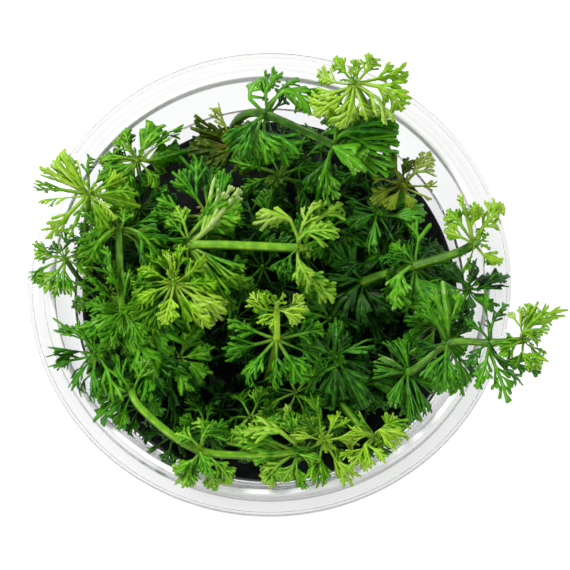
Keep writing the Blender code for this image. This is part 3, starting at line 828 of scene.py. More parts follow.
def medium_profile():
    """The medium's outline with many small steps over its top, so that lumps can be raised on it."""
    floor = FLOOR_THICKNESS - MEDIUM_CONTACT
    edge = wall_radius(MEDIUM_TOP) + MEDIUM_CONTACT
    flat = edge - MEDIUM_EDGE
    steps = [(flat * (1 - step / MEDIUM_RINGS), MEDIUM_TOP) for step in range(MEDIUM_RINGS + 1)]
    corner = wall_radius(floor) + MEDIUM_CONTACT
    return [
        (0, floor), (corner - MEDIUM_EDGE, floor), (corner, floor),
        (corner + SOFT_STEP, floor + MEDIUM_EDGE),
        (edge - SOFT_STEP, MEDIUM_TOP - 2 * MEDIUM_EDGE), (edge, MEDIUM_TOP - MEDIUM_EDGE),
    ] + steps


def raise_lumps(bm):
    """Dip the top of the medium unevenly; nothing rises above its solid's top."""
    for vertex in bm.verts:
        if vertex.co.z > MEDIUM_TOP - MEDIUM_EDGE - TOP_MARGIN:
            lump = noise.noise(vertex.co / LUMP_SIZE) - 1
            grain = noise.noise(vertex.co / GRAIN_SIZE) - 1
            vertex.co.z += LUMP_HEIGHT * lump / 2 + GRAIN_HEIGHT * grain / 2


def curve_through(before, start, end, after, share):
    """Point on the smooth curve from start to end that has before and after as neighbours."""
    return 0.5 * (
        2 * start
        + (end - before) * share
        + (2 * before - 5 * start + 4 * end - after) * share ** 2
        + (3 * start - before - 3 * end + after) * share ** 3
    )


def full_route(shoot):
    """The route's points, with one more where the growing tip ends past the last whorl."""
    points = [Vector(point) for point in shoot.route]
    ahead = (points[-1] - points[-2]).normalized()
    return points + [points[-1] + ahead * STEM_TIP]


def stem_line(shoot):
    """Points along the stem, from just inside the medium to its growing tip."""
    route = full_route(shoot)
    padded = [route[0]] + route + [route[-1]]
    depths = (FOOT_LENGTH + ROOTED_DEPTH, FOOT_LENGTH / 2)
    line = [route[0] - Vector((0, 0, depth)) for depth in depths]
    for before, start, end, after in zip(padded, padded[1:], padded[2:], padded[3:]):
        steps = max(1, round((end - start).length / STEM_SPACING))
        line += [curve_through(before, start, end, after, step / steps) for step in range(steps)]
    return line + [route[-1]]


def stem_radii(shoot, line):
    """Radius at each point: swollen at the whorls, and tapered towards the growing tip."""
    nodes = [Vector(shoot.route[whorl.node]) for whorl in shoot.whorls]
    radii = []
    for point in line:
        swell = sum(exp(-((point - node).length / NODE_REACH) ** 2) for node in nodes)
        left = min(1.0, (line[-1] - point).length / TAPER_LENGTH)
        radii.append(shoot.radius * (1 + NODE_SWELL * swell) * (TIP_SHARE + (1 - TIP_SHARE) * left))
    return radii


def grow_tube(bm, line, radii, tint):
    """Extrude a ribbed circle along a line, and close it to a point at the end."""
    ridge = bm.verts.layers.float["ridge"]
    tinted = bm.verts.layers.float["tint"]
    ring = bmesh.ops.create_circle(bm, cap_ends=True, segments=STEM_SIDES, radius=1.0)["verts"]
    ring.sort(key=lambda vertex: atan2(vertex.co.y, vertex.co.x))
    ahead = (line[1] - line[0]).normalized()
    side = ahead.orthogonal().normalized()
    for count, (point, radius) in enumerate(zip(line, radii)):
        if count:
            edges = [bm.edges.get((ring[step - 1], ring[step])) for step in range(STEM_SIDES)]
            grown = bmesh.ops.extrude_edge_only(bm, edges=edges)["geom"]
            fresh = {item for item in grown if isinstance(item, bmesh.types.BMVert)}
            ring = [
                next(edge.other_vert(old) for edge in old.link_edges if edge.other_vert(old) in fresh)
                for old in ring
            ]
            nearest = line[min(count + 1, len(line) - 1)] - line[count - 1]
            if nearest.length > SMALLEST_STEP:
                side.rotate(ahead.rotation_difference(nearest.normalized()))
                ahead = nearest.normalized()
        upward = ahead.cross(side)
        for step, vertex in enumerate(ring):
            angle = tau * step / STEM_SIDES
            wave = cos(STEM_RIDGES * angle)
            ray = side * cos(angle) + upward * sin(angle)
            vertex.co = point + ray * radius * (1 + RIDGE_DEPTH * wave)
            vertex[ridge] = wave
            vertex[tinted] = tint * min(1.0, max(0.0, (point.z - MEDIUM_TOP) / STEM_FADE))
    tip = line[-1] + ahead * radii[-1] * POINT_REACH
    bmesh.ops.pointmerge(bm, verts=ring, merge_co=tip)


def grow_stem(bm, shoot, tint, stride=1):
    """Grow the stem of a shoot, with fewer rings where the stride is longer."""
    line = stem_line(shoot)[::stride]
    grow_tube(bm, line, stem_radii(shoot, line), tint)


def node_axes(shoot, index):
    """The node's centre and two directions across the stem there."""
    route = full_route(shoot)
    along = (route[index + 1] - route[index - 1]).normalized()
    across = Vector((1, 0, 0)) - along * along.x
    across.normalize()
    return route[index], across, along.cross(across)


def leaf_direction(heading, pitch):
    """The direction with a heading around the vertical and a pitch above the level."""
    yaw = radians(heading)
    rise = radians(pitch)
    return Vector((cos(yaw) * cos(rise), sin(yaw) * cos(rise), sin(rise)))


def spread_angles(angles):
    """Move angles apart, in their order, until each side of the node's ring is wide enough."""
    count = len(angles)
    smallest = radians(min(SMALLEST_SIDE, CROWDED_SHARE * 360 / count))
    spread = list(angles)
    for _ in range(SPREAD_PASSES):
        for first in range(count):
            second = (first + 1) % count
            turn = tau if second == 0 else 0
            lack = smallest - (spread[second] + turn - spread[first])
            if lack > 0:
                spread[first] -= lack / 2
                spread[second] += lack / 2
    return spread


def place_on_ring(shoot, whorl):
    """Leaves in their order around the node, each with its climb and its angle on the ring."""
    _, across, upward = node_axes(shoot, whorl.node)
    placed = []
    for count, values in enumerate(whorl.leaves):
        leaf = Leaf(*values)
        climb = whorl.climb + CLIMB_VARIATION * ((count * GOLDEN_RATIO) % 1 - 0.5)
        ahead = leaf_direction(leaf.heading, climb)
        angle = atan2(ahead.dot(upward), ahead.dot(across))
        placed.append((angle, climb, leaf))
    placed.sort(key=lambda entry: entry[0])
    angles = spread_angles([entry[0] for entry in placed])
    return [(angle, climb, leaf) for angle, (_, climb, leaf) in zip(angles, placed)]


def ring_corners(angles):
    """Corner angles of the ring: halfway between leaves, with more where leaves are far apart."""
    corners = []
    for angle, following in zip(angles, angles[1:] + [angles[0] + tau]):
        width = following - angle
        if width <= radians(LARGEST_SIDE):
            corners.append(angle + width / 2)
        else:
            half = radians(LARGEST_SIDE) / 2
            rest = width - 2 * half
            sides = max(1, round(rest / radians(LARGEST_SIDE)))
            corners += [angle + half + rest * step / sides for step in range(sides + 1)]
    return corners


def leaf_root(shoot, whorl, corners, angle):
    """Where a leaf leaves its ring's side, and the direction in which that side faces."""
    centre, across, upward = node_axes(shoot, whorl.node)
    narrowest = cos(radians(LARGEST_SIDE) / 2)
    outer = (shoot.radius + GAP) / narrowest / narrowest + RING_WALL
    rays = [across * cos(corner) + upward * sin(corner) for corner in corners]
    ray = across * cos(angle) + upward * sin(angle)
    sides = [(first + second) * outer / 2 for first, second in zip(rays, rays[1:] + rays[:1])]
    best = max(sides, key=lambda side: FACING_WEIGHT * side.normalized().dot(ray) + side.dot(ray))
    return centre + best, best.normalized()


def leaf_line(root, outward, leaf, climb, droop, turn=0, reach=1.0):
    """Points of a leaf's centre line with the direction across the leaf at each."""
    point = root.copy()
    line = [(point.copy(), leaf_direction(leaf.heading + turn + 90, 0), climb)]
    for step in range(LEAF_STEPS):
        share = (step + 0.5) / LEAF_STEPS
        heading = leaf.heading + turn + leaf.sweep * share
        pitch = climb - droop * share
        pull = ROOT_PULL * max(0.0, 1 - share / ROOT_SHARE)
        ahead = (leaf_direction(heading, pitch) + outward * pull).normalized()
        point = point + ahead * leaf.length * reach / LEAF_STEPS
        line.append((point.copy(), leaf_direction(heading + 90, 0), pitch))
    return line


def solid_points(node):
    """The corners of a solid, in millimetres, ready to be searched by place."""
    points = [vertex.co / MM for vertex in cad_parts[node].data.vertices]
    tree = KDTree(len(points))
    for index, point in enumerate(points):
        tree.insert(point, index)
    tree.balance()
    return tree


def line_of_solid(node, tree, root, outward, leaf, form, climb, droop):
    """The line that the solid's leaf follows: the one whose tip has the solid's own corners."""
    half = TIP_WIDTHS[form] * leaf.length / USUAL_LENGTH / 2
    for reach in REACHES:
        for turn in TURNS:
            for lift in LIFTS:
                line = leaf_line(root, outward, leaf, climb + lift, droop, turn, reach)
                tip, side, _ = line[-1]
                ends = (tip - side * half, tip + side * half)
                if all(tree.find(end)[2] < SAME_PLACE for end in ends):
                    return line
    raise RuntimeError(f"{node} has no leaf like the one at heading {leaf.heading}")


def extrude_to(bm, edge, left, right):
    """Extrude the edge between two vertices, put its copy between two places and return it."""
    grown = bmesh.ops.extrude_edge_only(bm, edges=[bm.edges.get(edge)])["geom"]
    fresh = [item for item in grown if isinstance(item, bmesh.types.BMVert)]
    fresh.sort(key=lambda vertex: bm.edges.get((vertex, edge[0])) is None)
    fresh[0].co = left
    fresh[1].co = right
    return fresh[0], fresh[1]


def grow_lobe(bm, edge, heading, lobe, across):
    """Grow a lobe from an edge, given as its left and right vertex.

    Lobes of its own start at the sides of short steps, so that the leaf stays one sheet.
    """
    step_ends = {share: share + fork.widths[0][1] / lobe.length for share, _, fork in lobe.forks}
    shares, widths = zip(*lobe.widths)
    stations = {share for share in shares if share > 0}.union(step_ends, step_ends.values())
    middle = (edge[0].co + edge[1].co) / 2
    last = 0.0
    for share in sorted(stations):
        turned = radians(heading + lobe.bend * (share + last) / 2)
        ahead = Vector((cos(turned), sin(turned), lobe.lift + lobe.curl * share))
        middle = middle + ahead * lobe.length * (share - last)
        width = np.interp(share, shares, widths)
        aside = Vector((-sin(turned), cos(turned), 0)) * width / 2
        grown = extrude_to(bm, edge, middle + aside, middle - aside)
        grown[0][across] = width / RIB_WIDTH
        grown[1][across] = -width / RIB_WIDTH
        for start, side, fork in lobe.forks:
            if start == last:
                base = (edge[0], grown[0]) if side > 0 else (grown[1], edge[1])
                turned_fork = fork._replace(bend=side * fork.bend)
                fork_heading = heading + lobe.bend * share + side * fork.angle
                grow_lobe(bm, base, fork_heading, turned_fork, across)
        edge = grown
        last = share


def finger(dice, look, length, width):
    """A short blunt lobe without lobes of its own."""
    return Lobe(
        look.finger_angle * dice.uniform(*FINGER_ANGLES), length,
        ((0, width), (FINGER_SHOULDER, width), (1, width * BLUNTNESS)), FINGER_BEND,
        dice.uniform(*FINGER_LIFTS), dice.uniform(*FINGER_CURLS), (),
    )


def side_lobe(dice, look, angle, length, pairs):
    """A lobe at the side of the leaf, with pairs of fingers near its end."""
    forks = []
    for pair in range(pairs):
        start = look.finger_start + PAIR_SPACING * pair
        for side in (1, -1):
            reach = length * look.finger_length * dice.uniform(*FINGER_LENGTHS) * (1 - PAIR_LOSS * pair)
            forks.append((start, side, finger(dice, look, reach, look.width * FINGER_WIDTH)))
    return Lobe(
        angle * dice.uniform(*LOBE_ANGLES), length * dice.uniform(*LOBE_LENGTHS),
        ((0, look.width), (LOBE_SHOULDER, look.width), (1, look.width * BLUNTNESS)),
        look.bend * angle / look.angles[0], dice.uniform(*look.lift), dice.uniform(*look.curl),
        tuple(forks),
    )


# How a kind of leaf is divided: the widths of its stalk and axis, where its side lobes start, their
# angles to the axis, lengths and pairs of fingers, their width and bend, how steeply they rise and
# then curl, and the start, length and angle of the fingers. Lengths are shares of the leaf's length.
Look = namedtuple("Look", (
    "axis starts angles lengths pairs width bend lift curl finger_start finger_length finger_angle"
))
LOOKS = {
    "feather": Look(
        ((0, 0.07), (0.12, 0.055), (0.5, 0.07), (1, 0.055)), (0.38, 0.5, 0.62, 0.74, 0.86),
        (38, 36, 32, 28, 24), (0.32, 0.32, 0.27, 0.2, 0.12), (1, 1, 1, 1, 0), 0.068, -20,
        (-0.35, 0.4), (-1.3, 0.4), 0.44, 0.42, 28,
    ),
    "palm": Look(
        ((0, 0.07), (0.12, 0.05), (0.5, 0.07), (1, 0.055)), (0.34, 0.45, 0.58, 0.76), (29, 23, 20, 24),
        (0.54, 0.45, 0.34, 0.2), (2, 1, 1, 0), 0.064, -12, (-0.3, 0.4), (-1.4, 0.2), 0.4, 0.34, 28,
    ),
    "brush": Look(
        ((0, 0.07), (0.12, 0.055), (0.4, 0.1), (0.8, 0.11), (1, 0.08)), (0.2, 0.27, 0.35, 0.46),
        (48, 36, 24, 13), (0.4, 0.5, 0.52, 0.44), (1, 1, 1, 1), 0.112, -64, (-0.06, 0.2),
        (-0.7, 0.0), 0.72, 0.17, 18,
    ),
    "blade": Look(
        ((0, 0.06), (0.14, 0.045), (0.34, 0.08), (0.5, 0.16), (0.72, 0.19), (0.88, 0.12), (1, 0.04)),
        (0.36, 0.52, 0.68, 0.82), (34, 30, 26, 22), (0.34, 0.3, 0.22, 0.12), (0, 1, 0, 0), 0.1, -20,
        (-0.2, 0.3), (-0.8, 0.3), 0.5, 0.3, 24,
    ),
    "ribbed": Look(
        ((0, 0.09), (0.15, 0.07), (0.4, 0.06), (1, 0.06)), (0.2, 0.27, 0.34, 0.42), (24, 17, 11, 5),
        (0.6, 0.62, 0.58, 0.5), (0, 1, 1, 1), 0.062, -26, (-0.05, 0.1), (-0.5, 0.0), 0.82, 0.14, 14,
    ),
    "thread": Look(
        ((0, 0.085), (0.15, 0.06), (1, 0.055)), (0.56, 0.74), (26, 22), (0.34, 0.2), (1, 0), 0.058, -14,
        (-0.3, 0.3), (-0.9, 0.3), 0.5, 0.36, 28,
    ),
    "slim": Look(
        ((0, 0.07), (0.14, 0.055), (0.6, 0.06), (1, 0.055)), (0.44, 0.58, 0.72, 0.86), (34, 30, 27, 24),
        (0.2, 0.22, 0.17, 0.1), (0, 1, 0, 0), 0.064, -16, (-0.3, 0.3), (-0.9, 0.3), 0.5, 0.45, 30,
    ),
    "curl": Look(
        ((0, 0.07), (0.12, 0.055), (0.5, 0.06), (1, 0.06)), (0.42, 0.54, 0.66, 0.78), (40, 36, 32, 28),
        (0.22, 0.26, 0.22, 0.16), (0, 1, 1, 0), 0.066, -26, (-0.2, 0.4), (-1.6, -0.2), 0.5, 0.4, 28,
    ),
}

# The kind of divided leaf for each form of the solids' leaves
FORM_LOOKS = {
    "feather": "feather", "fan": "brush", "blade": "blade", "thread": "thread", "curl": "curl",
}

# Whorls whose leaves are of another kind than their solids' form suggests
WHORL_LOOKS = {
    "leaves_crown_1": "palm", "leaves_reach_1": "brush", "leaves_spray_1": "ribbed",
    "leaves_spray_2": "palm", "leaves_spray_3": "slim", "leaves_spray_4": "palm",
    "leaves_lime_right_1": "palm", "leaves_lime_front_1": "palm", "leaves_edge_1": "palm",
    "leaves_centre_1": "feather", "leaves_centre_2": "palm", "leaves_veil_1": "slim",
    "leaves_hook_1": "slim", "leaves_side_1": "brush", "leaves_inner_1": "brush",
    "leaves_rim_1": "palm", "leaves_arrow_1": "palm",
}

# Leaves that stand out in the photograph beside those of the solids: the heading, length, turn of
# the heading, climb, droop, kind and tint of each
Added = namedtuple("Added", "heading length sweep climb droop look tint")
ADDED_LEAVES = {
    "leaves_left_1": (
        (132, 10, 10, 52, 60, "feather", 0.8), (106, 14, 0, 64, 62, "feather", 0.95),
        (60, 12, -10, 52, 60, "feather", 0.8), (276, 10, 20, 40, 60, "blade", 0.85),
        (245, 9, 10, 46, 60, "brush", 0.7), (315, 10, -10, 40, 60, "feather", 0.9),
        (200, 8, 10, 64, 96, "brush", 1.0), (255, 8.5, 0, 68, 100, "palm", 1.05),
        (295, 8, 0, 64, 96, "brush", 1.0), (350, 7.5, -10, 62, 90, "palm", 0.95),
        (80, 9, 0, 74, 76, "palm", 1.0), (228, 5.5, 0, 56, 60, "brush", 1.05),
        (272, 6, 0, 56, 60, "brush", 1.1), (318, 5.5, 0, 56, 60, "brush", 1.05),
        (178, 5.5, 0, 54, 60, "brush", 1.0), (12, 6, 0, 54, 60, "brush", 1.0),
        (-30, 14, 4, 34, 60, "brush", 0.75), (-62, 16, 0, 24, 50, "feather", 0.85),
    ),
    "leaves_plume_1": (
        (-16, 10.5, 0, 20, 50, "palm", 1.0), (-36, 12.5, 0, 16, 50, "palm", 1.1),
        (-70, 10.5, 0, 8, 60, "brush", 0.5), (222, 12, 0, 6, 60, "palm", 0.2),
        (248, 11, 0, 2, 60, "palm", 0.1), (178, 9.5, 0, 10, 60, "palm", 0.3),
        (98, 6, 0, 44, 60, "brush", 1.2), (120, 9, 0, 10, 60, "palm", 0.3),
    ),
    "leaves_front_2": (
        (-38, 9, -16, 8, 40, "feather", 0.7), (-64, 8.5, -8, 22, 60, "feather", 0.75),
        (232, 8, 0, 30, 70, "palm", 0.6),
    ),
    "leaves_front_3": (
        (204, 9, 10, -4, 40, "palm", 0.7), (222, 9, 0, 10, 50, "feather", 0.8),
        (172, 14, 0, 20, 40, "palm", 0.5), (160, 13.5, 6, 22, 40, "palm", 0.6),
        (184, 11, 0, 14, 40, "brush", 0.5), (97, 9.5, 0, 24, 30, "feather", 1.0),
        (62, 8, -8, 30, 40, "palm", 0.6),
    ),
    "leaves_spray_1": (
        (118, 8, 10, 34, 60, "ribbed", 0.5), (262, 9, 0, 26, 60, "ribbed", 0.9),
        (-66, 9.5, 0, 28, 60, "ribbed", 0.8), (170, 7, 0, 34, 60, "ribbed", 0.6),
    ),
    "leaves_spray_2": ((92, 12.5, 6, 40, 50, "brush", 1.05),),
    "leaves_crown_2": (
        (7, 13, 0, 30, 34, "ribbed", 0.8), (-9, 13, 0, 26, 34, "ribbed", 0.65),
        (-24, 12.5, 0, 24, 34, "ribbed", 0.75),
    ),
    "leaves_beam_1": (
        (43, 15.5, 6, 40, 36, "ribbed", 1.45), (-40, 13, -6, 26, 36, "ribbed", 0.6),
        (-55, 14, -6, 24, 36, "ribbed", 0.4), (-68, 12, 0, 22, 36, "ribbed", 0.5),
    ),
    "leaves_umbrella_1": (
        (205, 7.5, 30, 10, 96, "curl", 1.0), (228, 10, 20, 4, 96, "curl", 0.8),
        (247, 12.5, 10, 8, 90, "curl", 1.1), (268, 13.5, 0, 2, 90, "feather", 0.8),
        (284, 12.5, -6, 8, 90, "curl", 1.2), (300, 13, -14, 4, 90, "feather", 0.8),
        (322, 9.5, -30, 8, 96, "curl", 1.0), (258, 9, 0, 20, 96, "curl", 0.6),
    ),
    "leaves_bundle_1": ((113, 9, 0, 34, 34, "curl", 1.2),),
    "leaves_veil_1": (
        (138, 10.5, 6, 16, 46, "brush", 1.0), (156, 11, 4, 22, 46, "ribbed", 1.1),
        (122, 9.5, -6, 22, 50, "brush", 0.9), (-12, 11, 10, 8, 60, "brush", 0.55),
        (-58, 9, 0, 14, 66, "brush", 0.5), (28, 9, 0, 12, 50, "palm", 0.7),
    ),
    "leaves_corner_1": (
        (206, 9.5, 6, 30, 60, "brush", 0.55), (228, 10.5, 0, 24, 60, "brush", 0.45),
        (254, 9.5, 0, 30, 66, "brush", 0.35), (176, 8.5, 0, 36, 66, "palm", 0.6),
        (58, 9.5, -10, 34, 60, "brush", 0.6), (128, 7, 0, 40, 80, "palm", 0.7),
    ),
    "leaves_left_2": (
        (-22, 14, 0, 20, 50, "brush", 0.2), (-38, 13, 0, 14, 50, "brush", 0.1),
        (196, 9.5, 0, 24, 60, "brush", 0.45), (222, 10, 0, 30, 60, "brush", 0.5),
    ),
}

# The ranges of tints in whorls whose leaves are darker or lighter than usual
WHORL_TINTS = {
    "leaves_arrow_1": (-0.1, 0.3), "leaves_corner_1": (0.1, 0.6), "leaves_left_2": (0.2, 0.7),
    "leaves_edge_1": (0.2, 0.8), "leaves_bundle_1": (0.1, 0.6), "leaves_beam_1": (0.4, 0.9),
    "leaves_beam_2": (0.7, 1.2), "leaves_front_3": (0.55, 0.9), "leaves_umbrella_1": (0.8, 1.3),
    "leaves_russet_1": (0.6, 1.2), "leaves_centre_1": (0.05, 0.45), "leaves_centre_2": (0.8, 1.2),
    "leaves_hook_1": (0.0, 0.4), "leaves_spray_1": (0.7, 1.2), "leaves_fold_1": (0.5, 1.0),
}


def leaf_sheet(kind, seed):
    """A flat leaf of one kind, from x = 0 at its root to x = 1 at its tip, as a mesh."""
    dice = random.Random(seed)
    look = LOOKS[kind]
    forks = []
    for start, angle, length, pairs in zip(look.starts, look.angles, look.lengths, look.pairs):
        for side in (1, -1):
            lobe = side_lobe(dice, look, angle, length, pairs)
            if dice.random() < LOBE_CHANCE:
                forks.append((start, side, lobe))
    bend = dice.uniform(-LEAF_BEND, LEAF_BEND)
    axis = Lobe(0, 1.0, look.axis, bend, 0.0, 0.0, tuple(forks))
    bm = bmesh.new()
    across = bm.verts.layers.float.new("across")
    half = look.axis[0][1] / 2
    left = bm.verts.new((0, half, 0))
    right = bm.verts.new((0, -half, 0))
    bm.edges.new((left, right))
    left[across] = 1.0
    right[across] = -1.0
    grow_lobe(bm, (left, right), -bend / 2, axis, across)
    bmesh.ops.recalc_face_normals(bm, faces=bm.faces)
    if sum(face.normal.z for face in bm.faces) < 0:
        bmesh.ops.reverse_faces(bm, faces=bm.faces)
    reach = max(vertex.co.x for vertex in bm.verts)
    bmesh.ops.scale(bm, vec=(1 / reach, 1 / reach, 1 / reach), verts=bm.verts)
    mesh = bpy.data.meshes.new(f"sheet_{kind}_{seed}")
    bm.to_mesh(mesh)
    bm.free()
    return mesh


def lay_leaf(bm, sheet, line, dice, width, tint):
    """Bend a flat leaf along a line, with a roll, twist, cup, fold and wave of its own."""
    along = bm.verts.layers.float["along"]
    tinted = bm.verts.layers.float["tint"]
    points = [point for point, _, _ in line]
    lengths = [0.0]
    for first, second in zip(points, points[1:]):
        lengths.append(lengths[-1] + (second - first).length)
    whole = lengths[-1]
    roll = radians(dice.uniform(-ROLL, ROLL))
    twist = radians(dice.uniform(-TWIST, TWIST))
    cup = dice.uniform(*CUPS)
    fold = dice.uniform(*FOLDS)
    wave = dice.uniform(*WAVE_HEIGHTS)
    phase = dice.uniform(0, tau)
    count = len(bm.verts)
    bm.from_mesh(sheet)
    bm.verts.ensure_lookup_table()
    for vertex in bm.verts[count:]:
        x, y, z = vertex.co
        travelled = x * whole
        index = min(max(int(np.searchsorted(lengths, travelled)) - 1, 0), len(points) - 2)
        share = (travelled - lengths[index]) / max(lengths[index + 1] - lengths[index], SMALLEST_STEP)
        (start, side, pitch), (end, next_side, next_pitch) = line[index], line[index + 1]
        side = side.lerp(next_side, min(share, 1.0)).normalized()
        rise = radians(pitch + (next_pitch - pitch) * min(share, 1.0))
        ahead = Vector((side.y * cos(rise), -side.x * cos(rise), sin(rise)))
        upward = ahead.cross(side)
        spin = roll + twist * x
        turned = side * cos(spin) + upward * sin(spin)
        upward = ahead.cross(turned)
        place = start + (end - start) * share
        z += cup * y * y + fold * abs(y) + wave * x * sin(tau * x + phase)
        vertex.co = place + (turned * y * width + upward * z) * whole
        vertex[along] = x
        vertex[tinted] = tint


def lay_any_leaf(bm, variants, line, dice, widths, tints):
    """Lay one of the variants along a line, with a width and a tint from their ranges."""
    sheet = dice.choice(variants)
    width = dice.uniform(*widths)
    lay_leaf(bm, sheet, line, dice, width, dice.uniform(*tints))


def grow_bud(bm, shoot, sheets, dice):
    """Small folded leaves around the growing tip."""
    route = full_route(shoot)
    ahead = (route[-1] - route[-2]).normalized()
    turn = Vector((0, 0, 1)).rotation_difference(ahead)
    base = route[-1] - ahead * STEM_TIP * BUD_DEPTH
    for count in range(BUD_LEAVES):
        leaf = Leaf(count * GOLDEN_ANGLE, BUD_LENGTH * dice.uniform(*BUD_LENGTHS))
        line = leaf_line(Vector(), Vector(), leaf, BUD_CLIMB - BUD_CLIMB_STEP * count, BUD_DROOP)
        placed = []
        for point, side, pitch in line:
            point.rotate(turn)
            placed.append((base + point, side, pitch))
        sheet = sheets["slim"][count % SHEET_VARIANTS]
        lay_leaf(bm, sheet, placed, dice, BUD_WIDTH, dice.uniform(*BUD_TINTS))


def make_sheets():
    """The flat variants of every kind of leaf."""
    return {
        kind: [leaf_sheet(kind, seed) for seed in range(SHEET_VARIANTS)] for kind in LOOKS
    }


def remove_sheets(sheets):
    """Delete the flat leaves once copies of them are laid."""
    for variants in sheets.values():
        for mesh in variants:
            bpy.data.meshes.remove(mesh)


def ray_line(centre, radius, leaf, climb, droop):
    """The line of a leaf that leaves its stem straight along its heading."""
    outward = leaf_direction(leaf.heading, 0)
    return leaf_line(centre + outward * radius * STALK_START, outward, leaf, climb, droop)


def whorl_leaves(bm, name, shoot, whorl, sheets, dice):
    """Lay a whorl's leaves along the lines of its solid, and extra and added leaves beside them."""
    tree = solid_points(name)
    places = place_on_ring(shoot, whorl)
    corners = ring_corners([angle for angle, _, _ in places])
    centre, across, upward = node_axes(shoot, whorl.node)
    for angle, climb, leaf in places:
        root, outward = leaf_root(shoot, whorl, corners, angle)
        form = leaf.form or whorl.form
        look = FORM_LOOKS[form] if leaf.form else WHORL_LOOKS.get(name, FORM_LOOKS[form])
        line = line_of_solid(name, tree, root, outward, leaf, form, climb, whorl.droop)
        stalk = centre + outward * shoot.radius * STALK_START
        line = [(stalk, line[0][1], line[0][2])] + line
        tint = dice.uniform(*WHORL_TINTS.get(name, LEAF_TINTS))
        lay_leaf(bm, dice.choice(sheets[look]), line, dice, dice.uniform(*LEAF_WIDTHS), tint)
    look = WHORL_LOOKS.get(name, FORM_LOOKS[whorl.form])
    for (angle, _, leaf), (following, _, next_leaf) in zip(places, places[1:] + places[:1]):
        gap = (following - angle) % tau
        extras = int(degrees(gap) / EXTRA_SPACING)
        for count in range(extras):
            ray_angle = angle + gap * (count + dice.uniform(*EXTRA_PLACES)) / extras
            outward = across * cos(ray_angle) + upward * sin(ray_angle)
            heading = degrees(atan2(outward.y, outward.x))
            length = (leaf.length + next_leaf.length) / 2 * dice.uniform(*EXTRA_LENGTHS)
            extra = Leaf(heading, length, dice.uniform(-EXTRA_SWEEP, EXTRA_SWEEP))
            climb = whorl.climb + dice.uniform(*EXTRA_CLIMBS)
            root = centre + outward * shoot.radius * STALK_START
            line = leaf_line(root, outward, extra, climb, whorl.droop)
            lay_any_leaf(bm, sheets[look], line, dice, EXTRA_WIDTHS, EXTRA_TINTS)
    for values in ADDED_LEAVES.get(name, ()):
        added = Added(*values)
        leaf = Leaf(added.heading, added.length, added.sweep)
        line = ray_line(centre, shoot.radius, leaf, added.climb, added.droop)
        lay_leaf(bm, dice.choice(sheets[added.look]), line, dice, 1.0, added.tint)


def is_free(point):
    """Whether a leaf may end at a point: inside the wall and outside the bare patches."""
    flat = Vector((point.x, point.y, 0))
    if flat.length > UNDERGROWTH_REACH:
        return False
    return all((flat - Vector((x, y, 0))).length > reach for x, y, reach in BARE_PATCHES)


def undergrowth_places():
    """Where the small shoots stand: spread like seeds in a sunflower, outside the bare patches."""
    places = []
    for count in range(UNDERGROWTH_SHOOTS):
        radius = UNDERGROWTH_SPREAD * ((count + 0.5) / UNDERGROWTH_SHOOTS) ** 0.5
        place = leaf_direction(GOLDEN_ANGLE * count, 0) * radius
        if is_free(place):
            places.append(place)
    return places


def undergrowth_shoot(place, dice):
    """A short shoot with one whorl, whose leaves stop short of the wall and the bare patches."""
    height = dice.uniform(*UNDERGROWTH_HEIGHTS)
    aside, ahead = (dice.uniform(-UNDERGROWTH_LEAN, UNDERGROWTH_LEAN) for _ in range(2))
    lean = Vector((aside, ahead, 0))
    base = Vector((place.x, place.y, MEDIUM_TOP + SMALL_FOOT))
    top = Vector((place.x, place.y, height)) + lean
    middle = base.lerp(top, 0.5) + lean * UNDERGROWTH_BOW
    turn = dice.uniform(0, UNDERGROWTH_TURN)
    leaves = []
    for count in range(UNDERGROWTH_LEAVES):
        jitter = dice.uniform(-UNDERGROWTH_JITTER, UNDERGROWTH_JITTER)
        heading = turn + count * 360 / UNDERGROWTH_LEAVES + jitter
        length = dice.uniform(*UNDERGROWTH_LENGTHS)
        while length > SHORTEST_LEAF and not is_free(top + leaf_direction(heading, 0) * length):
            length -= LENGTH_STEP
        leaves.append((heading, length, dice.uniform(-SMALL_SWEEP, SMALL_SWEEP)))
    climb = dice.uniform(*UNDERGROWTH_CLIMBS)
    droop = dice.uniform(*UNDERGROWTH_DROOPS)
    whorl = Whorl(2, "dark", "feather", climb, droop, tuple(leaves))
    return Shoot(UNDERGROWTH_RADIUS, (tuple(base), tuple(middle), tuple(top)), (whorl,))


def grow_undergrowth(bm, shoot, sheets, dice):
    """Lay the leaves of a small shoot."""
    whorl = shoot.whorls[0]
    centre = Vector(shoot.route[-1])
    look = dice.choice(UNDERGROWTH_LOOKS)
    age_and_shade = dice.uniform(*UNDERGROWTH_AGES_AND_SHADE)
    tints = (age_and_shade, age_and_shade + UNDERGROWTH_YOUNGER)
    for values in whorl.leaves:
        climb = whorl.climb + dice.uniform(-UNDERGROWTH_TILT, UNDERGROWTH_TILT)
        line = ray_line(centre, shoot.radius, Leaf(*values), climb, whorl.droop)
        lay_any_leaf(bm, sheets[look], line, dice, SMALL_WIDTHS, tints)


